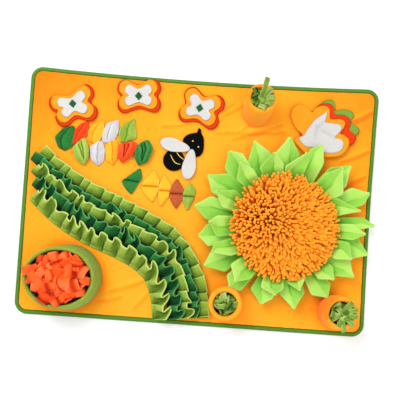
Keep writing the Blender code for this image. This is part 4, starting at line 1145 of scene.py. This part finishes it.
def addPetal(bm, petal, ring, number, chance):
    # a folded petal: flat facets either side of a crease that is deep at the foot
    footRight, footLeft, right, tip, left, crease = petal
    foot = sunflower["foot"]
    rightSide, leftSide = ([polarSpot(footAngle, foot)] + [polarSpot(a, d / 1000) for a, d in (side, tip)]
                           for footAngle, side in ((footRight + 2, right), (footLeft - 2, left)))
    lift = 0.0016 * (number % 2)
    curl = [chance.uniform(-0.002, 0.004) for _ in range(2)]
    second = 0.22 if crease > 0.5 else 0.78
    rise = ring["tipRise"] + chance.uniform(-0.003, 0.004)
    fold = ring["fold"] * chance.uniform(0.7, 1.15)

    def heightAt(u, v):
        low = ring["low"] + (ring["middleRise"] - ring["low"]) * min(1.0, u / 0.45)
        height = low + (rise - ring["middleRise"]) * max(0.0, (u - 0.35) / 0.65) ** 1.3
        middle = crease + (0.5 - crease) * u * 0.6
        off = (v - middle) / (middle if v < middle else 1 - middle)
        depth = fold * (1 - u) ** 0.7 * min(1.0, u * 8)
        height += depth * (abs(off) ** 0.8 - 0.75)
        edge = curl[0] * (1 - v) ** 3 + curl[1] * v ** 3
        return height + edge * math.sin(math.pi * u) + 0.0018 * math.sin(math.pi * v) * u

    def place(u, v):
        spot = alongSide(rightSide, u).lerp(alongSide(leftSide, u), v)
        spot.z = heightAt(u, v) + lift + 0.0010 * noise(Vector((u * 3, v * 2.5, number * 1.7)))
        return spot

    def shade(u, v):
        middle = crease + (0.5 - crease) * u * 0.6
        line = bell(v, middle, 0.04) * max(0.0, 1 - u * 1.15)
        line += 0.6 * bell(v, second, 0.035) * max(0.0, 1 - u * 1.9)
        edge = 0.06 if min(v, 1 - v) < 0.07 or u > 0.96 else 0.0
        facet = 0.15 * max(0.0, 1 - 0.6 * u) if (v > middle) == (number % 3 > 0) else -0.05
        return edge - 0.46 * line - 0.26 * (1 - u) ** 3 - facet

    clothGrid(bm, 18, 16, place, flat=(tip[1] / 1000 - foot, 0.055), tint=shade)


def buildPetals():
    for name, petals in (("outer", outerPetals), ("inner", innerPetals)):
        bm = bmesh.new()
        chance = random.Random(name)
        for number, petal in enumerate(petals):
            addPetal(bm, petal, sunflower[name], number, chance)
        closeSeams(bm, 0.000001)
        bmesh.ops.recalc_face_normals(bm, faces=bm.faces)
        for face in bm.faces:
            if face.normal.z < 0:
                face.normal_flip()
        node = f"petals_{name}"
        piece = finishPiece(pieceName(node), bm, "petalFleece", [node])
        addWall(piece, "fleece thickness", sunflower["petalCloth"])


def padHeight(distance):
    share = distance / sunflower["padRadius"]
    return sunflower["padEdge"] + sunflower["padDome"] * math.sqrt(max(0.0, 1 - share ** 2))


def buildPad():
    bm = bmesh.new()
    centre = Vector((*sunflower["middle"], 0.0))

    def place(u, v):
        angle = 2 * math.pi * v
        distance = sunflower["padRadius"] * math.sin(u * math.pi / 2)
        x, y = distance * math.cos(angle), distance * math.sin(angle)
        return centre + Vector((x, y, padHeight(distance) + 0.001 * noise(Vector((x, y, 0)) * 70)))

    # painted shade: the ground under the locks is painted darker, as it lies in their shade
    clothGrid(bm, 14, 72, place, flat=(0.1, 0.6), tint=lambda u, v: -0.3)
    closeSeams(bm)
    made = bmesh.ops.extrude_edge_only(bm, edges=openEdges(bm))["geom"]
    for vert in made:
        if isinstance(vert, bmesh.types.BMVert):
            vert.co = centre + (vert.co - centre) * sunflower["padFoot"]
            vert.co.z = sunflower["padLow"]
    rim = [edge for edge in made if isinstance(edge, bmesh.types.BMEdge) and edge.is_boundary]
    bmesh.ops.edgeloop_fill(bm, edges=rim)
    bmesh.ops.recalc_face_normals(bm, faces=bm.faces)
    pad = finishPiece("chenilleGround", bm, "chenille", ["chenille_pad"])


def buildLocks():
    # all the locks in one mesh, each a soft tube with a round end
    chance = np.random.default_rng(5)
    count, rings, sides = sunflower["locks"], 7, 6
    centre = np.array([*sunflower["middle"], 0.0])
    order = np.arange(count) + 0.5
    distance = 0.092 * np.sqrt(order / count) + chance.uniform(-0.0012, 0.0012, count)
    distance = np.clip(distance, 0.001, 0.094)
    angle = sunflower["lockTurn"] * order + chance.uniform(-0.05, 0.05, count)
    root = np.stack([distance * np.cos(angle), distance * np.sin(angle), np.zeros(count)], 1)
    root[:, 2] = [padHeight(d) - 0.002 for d in distance]
    root += centre
    away = root[:, :2] - np.array(sunflower["parting"])
    span = np.linalg.norm(away, axis=1)
    heading = away / np.maximum(span, 1e-6)[:, None]
    # right of and below the parting the locks lie down, left of it they stand
    facing = heading @ np.array([0.80, -0.60])
    lie = np.clip(span / 0.060, 0, 1) * np.clip(0.62 + 0.45 * facing, 0.12, 1.0)
    edge = np.clip((distance - 0.070) / 0.024, 0, 1)
    lie = np.maximum(lie, edge * 0.95)
    lean = np.radians(8 + 60 * lie) + chance.normal(0, 0.13, count)
    radial = (root - centre)[:, :2] / np.maximum(distance, 1e-6)[:, None]
    heading = heading * (1 - edge[:, None]) + radial * edge[:, None]
    swirl = chance.normal(0, 0.28, count)
    heading = np.stack([heading[:, 0] * np.cos(swirl) - heading[:, 1] * np.sin(swirl),
                        heading[:, 0] * np.sin(swirl) + heading[:, 1] * np.cos(swirl)], 1)
    heading /= np.linalg.norm(heading, axis=1)[:, None]
    length = sunflower["lockLength"] * chance.uniform(0.86, 1.1, count)
    spots = np.zeros((count, rings, 3))
    spots[:, 0] = root
    # rings are close together at the round end
    marks = np.array([0.0, 0.22, 0.42, 0.62, 0.80, 0.93, 0.985])
    for k in range(1, rings):
        tilt = lean * (0.30 + 0.70 * marks[k] ** 0.6)
        step = np.stack([heading[:, 0] * np.sin(tilt), heading[:, 1] * np.sin(tilt), np.cos(tilt)], 1)
        spots[:, k] = spots[:, k - 1] + step * (length * (marks[k] - marks[k - 1]))[:, None]
    ahead = np.gradient(spots, axis=1)
    ahead /= np.linalg.norm(ahead, axis=2)[:, :, None]
    across = np.stack([-heading[:, 1], heading[:, 0], np.zeros(count)], 1)[:, None, :].repeat(rings, 1)
    other = np.cross(ahead, across)
    swell = np.array([0.85, 1.0, 1.0, 1.0, 1.0, 1.0, 0.74])
    radius = sunflower["lockRadius"] * swell[None, :] * chance.uniform(0.93, 1.08, (count, rings))
    turns = 2 * np.pi * np.arange(sides) / sides
    ringPoints = (spots[:, :, None, :]
                  + across[:, :, None, :] * (radius[:, :, None] * np.cos(turns))[..., None]
                  + other[:, :, None, :] * (radius[:, :, None] * np.sin(turns))[..., None])
    tip = spots[:, -1] + ahead[:, -1] * sunflower["lockRadius"] * 0.35
    points = np.concatenate([ringPoints.reshape(count, -1, 3), tip[:, None], root[:, None]], 1)
    each = points.shape[1]
    faces = []
    for k in range(rings - 1):
        for j in range(sides):
            after = (j + 1) % sides
            faces.append((k * sides + j, k * sides + after, (k + 1) * sides + after, (k + 1) * sides + j))
    last = (rings - 1) * sides
    caps = [(last + j, last + (j + 1) % sides, each - 2) for j in range(sides)]
    caps += [((j + 1) % sides, j, each - 1) for j in range(sides)]
    allFaces = []
    for n in range(count):
        allFaces += [tuple(n * each + i for i in face) for face in faces + caps]
    mesh = bpy.data.meshes.new("chenilleLocks")
    mesh.from_pydata(points.reshape(-1, 3).tolist(), [], allFaces)
    # painted shade at the root, down between the locks, and a painted highlight at the tip, with a random tone
    # for each lock
    rootShadeTipLight = np.concatenate([np.repeat([-0.30, -0.18, -0.06, 0.02, 0.07, 0.10, 0.13], sides), [0.16, -0.4]])
    lockShadingAndTone = (rootShadeTipLight[None, :] + chance.normal(0, 0.05, count)[:, None]).astype(np.float32).ravel()
    mesh.attributes.new("tint", "FLOAT", "POINT").data.foreach_set("value", lockShadingAndTone)
    dressMesh(mesh, "chenille", ["chenille_pad"])


buildPetals()
buildPad()
buildLocks()
print("sunflower")


def buildStage():
    bm = bmesh.new()
    bmesh.ops.create_grid(bm, x_segments=1, y_segments=1, size=3.0)
    mesh = bpy.data.meshes.new("floor")
    bm.to_mesh(mesh)
    bm.free()
    material = bpy.data.materials.new("white paper backdrop")   # matt and even, takes only soft shadows
    material.use_nodes = True
    shader = material.node_tree.nodes["Principled BSDF"]
    shader.inputs["Base Color"].default_value = linearColour("FCFCFC")
    shader.inputs["Roughness"].default_value = 1.0
    mesh.materials.append(material)
    addObject("floor", mesh)


lights = (
    # name, place, watts, size
    ("keyLight", (-0.9, 1.0, 1.6), 26, 1.2),
    ("fillLight", (1.2, -1.0, 1.8), 16, 1.8),
)


def buildLights():
    for name, place, power, size in lights:
        light = bpy.data.lights.new(name, "AREA")
        light.energy = power
        light.size = size
        lamp = addObject(name, light)
        lamp.location = place
        lamp.rotation_euler = (-Vector(place)).to_track_quat("-Z", "Y").to_euler()
    world = bpy.data.worlds.new("studio")
    world.use_nodes = True
    sky = world.node_tree.nodes["Background"]
    sky.inputs["Color"].default_value = (1.0, 1.0, 1.0, 1.0)
    sky.inputs["Strength"].default_value = 0.75
    bpy.context.scene.world = world
    bpy.context.scene.view_settings.view_transform = "Standard"


def buildCamera():
    lens = bpy.data.cameras.new("camera")
    lens.lens = 75.96
    camera = addObject("camera", lens)
    camera.location = (0.0138348573, -0.140201611, 1.69690794)
    camera.rotation_euler = (0.0828451892, -0.00105181755, 0.0700079506)
    bpy.context.scene.camera = camera


buildStage()
buildLights()
buildCamera()
print("stage, lights and camera")
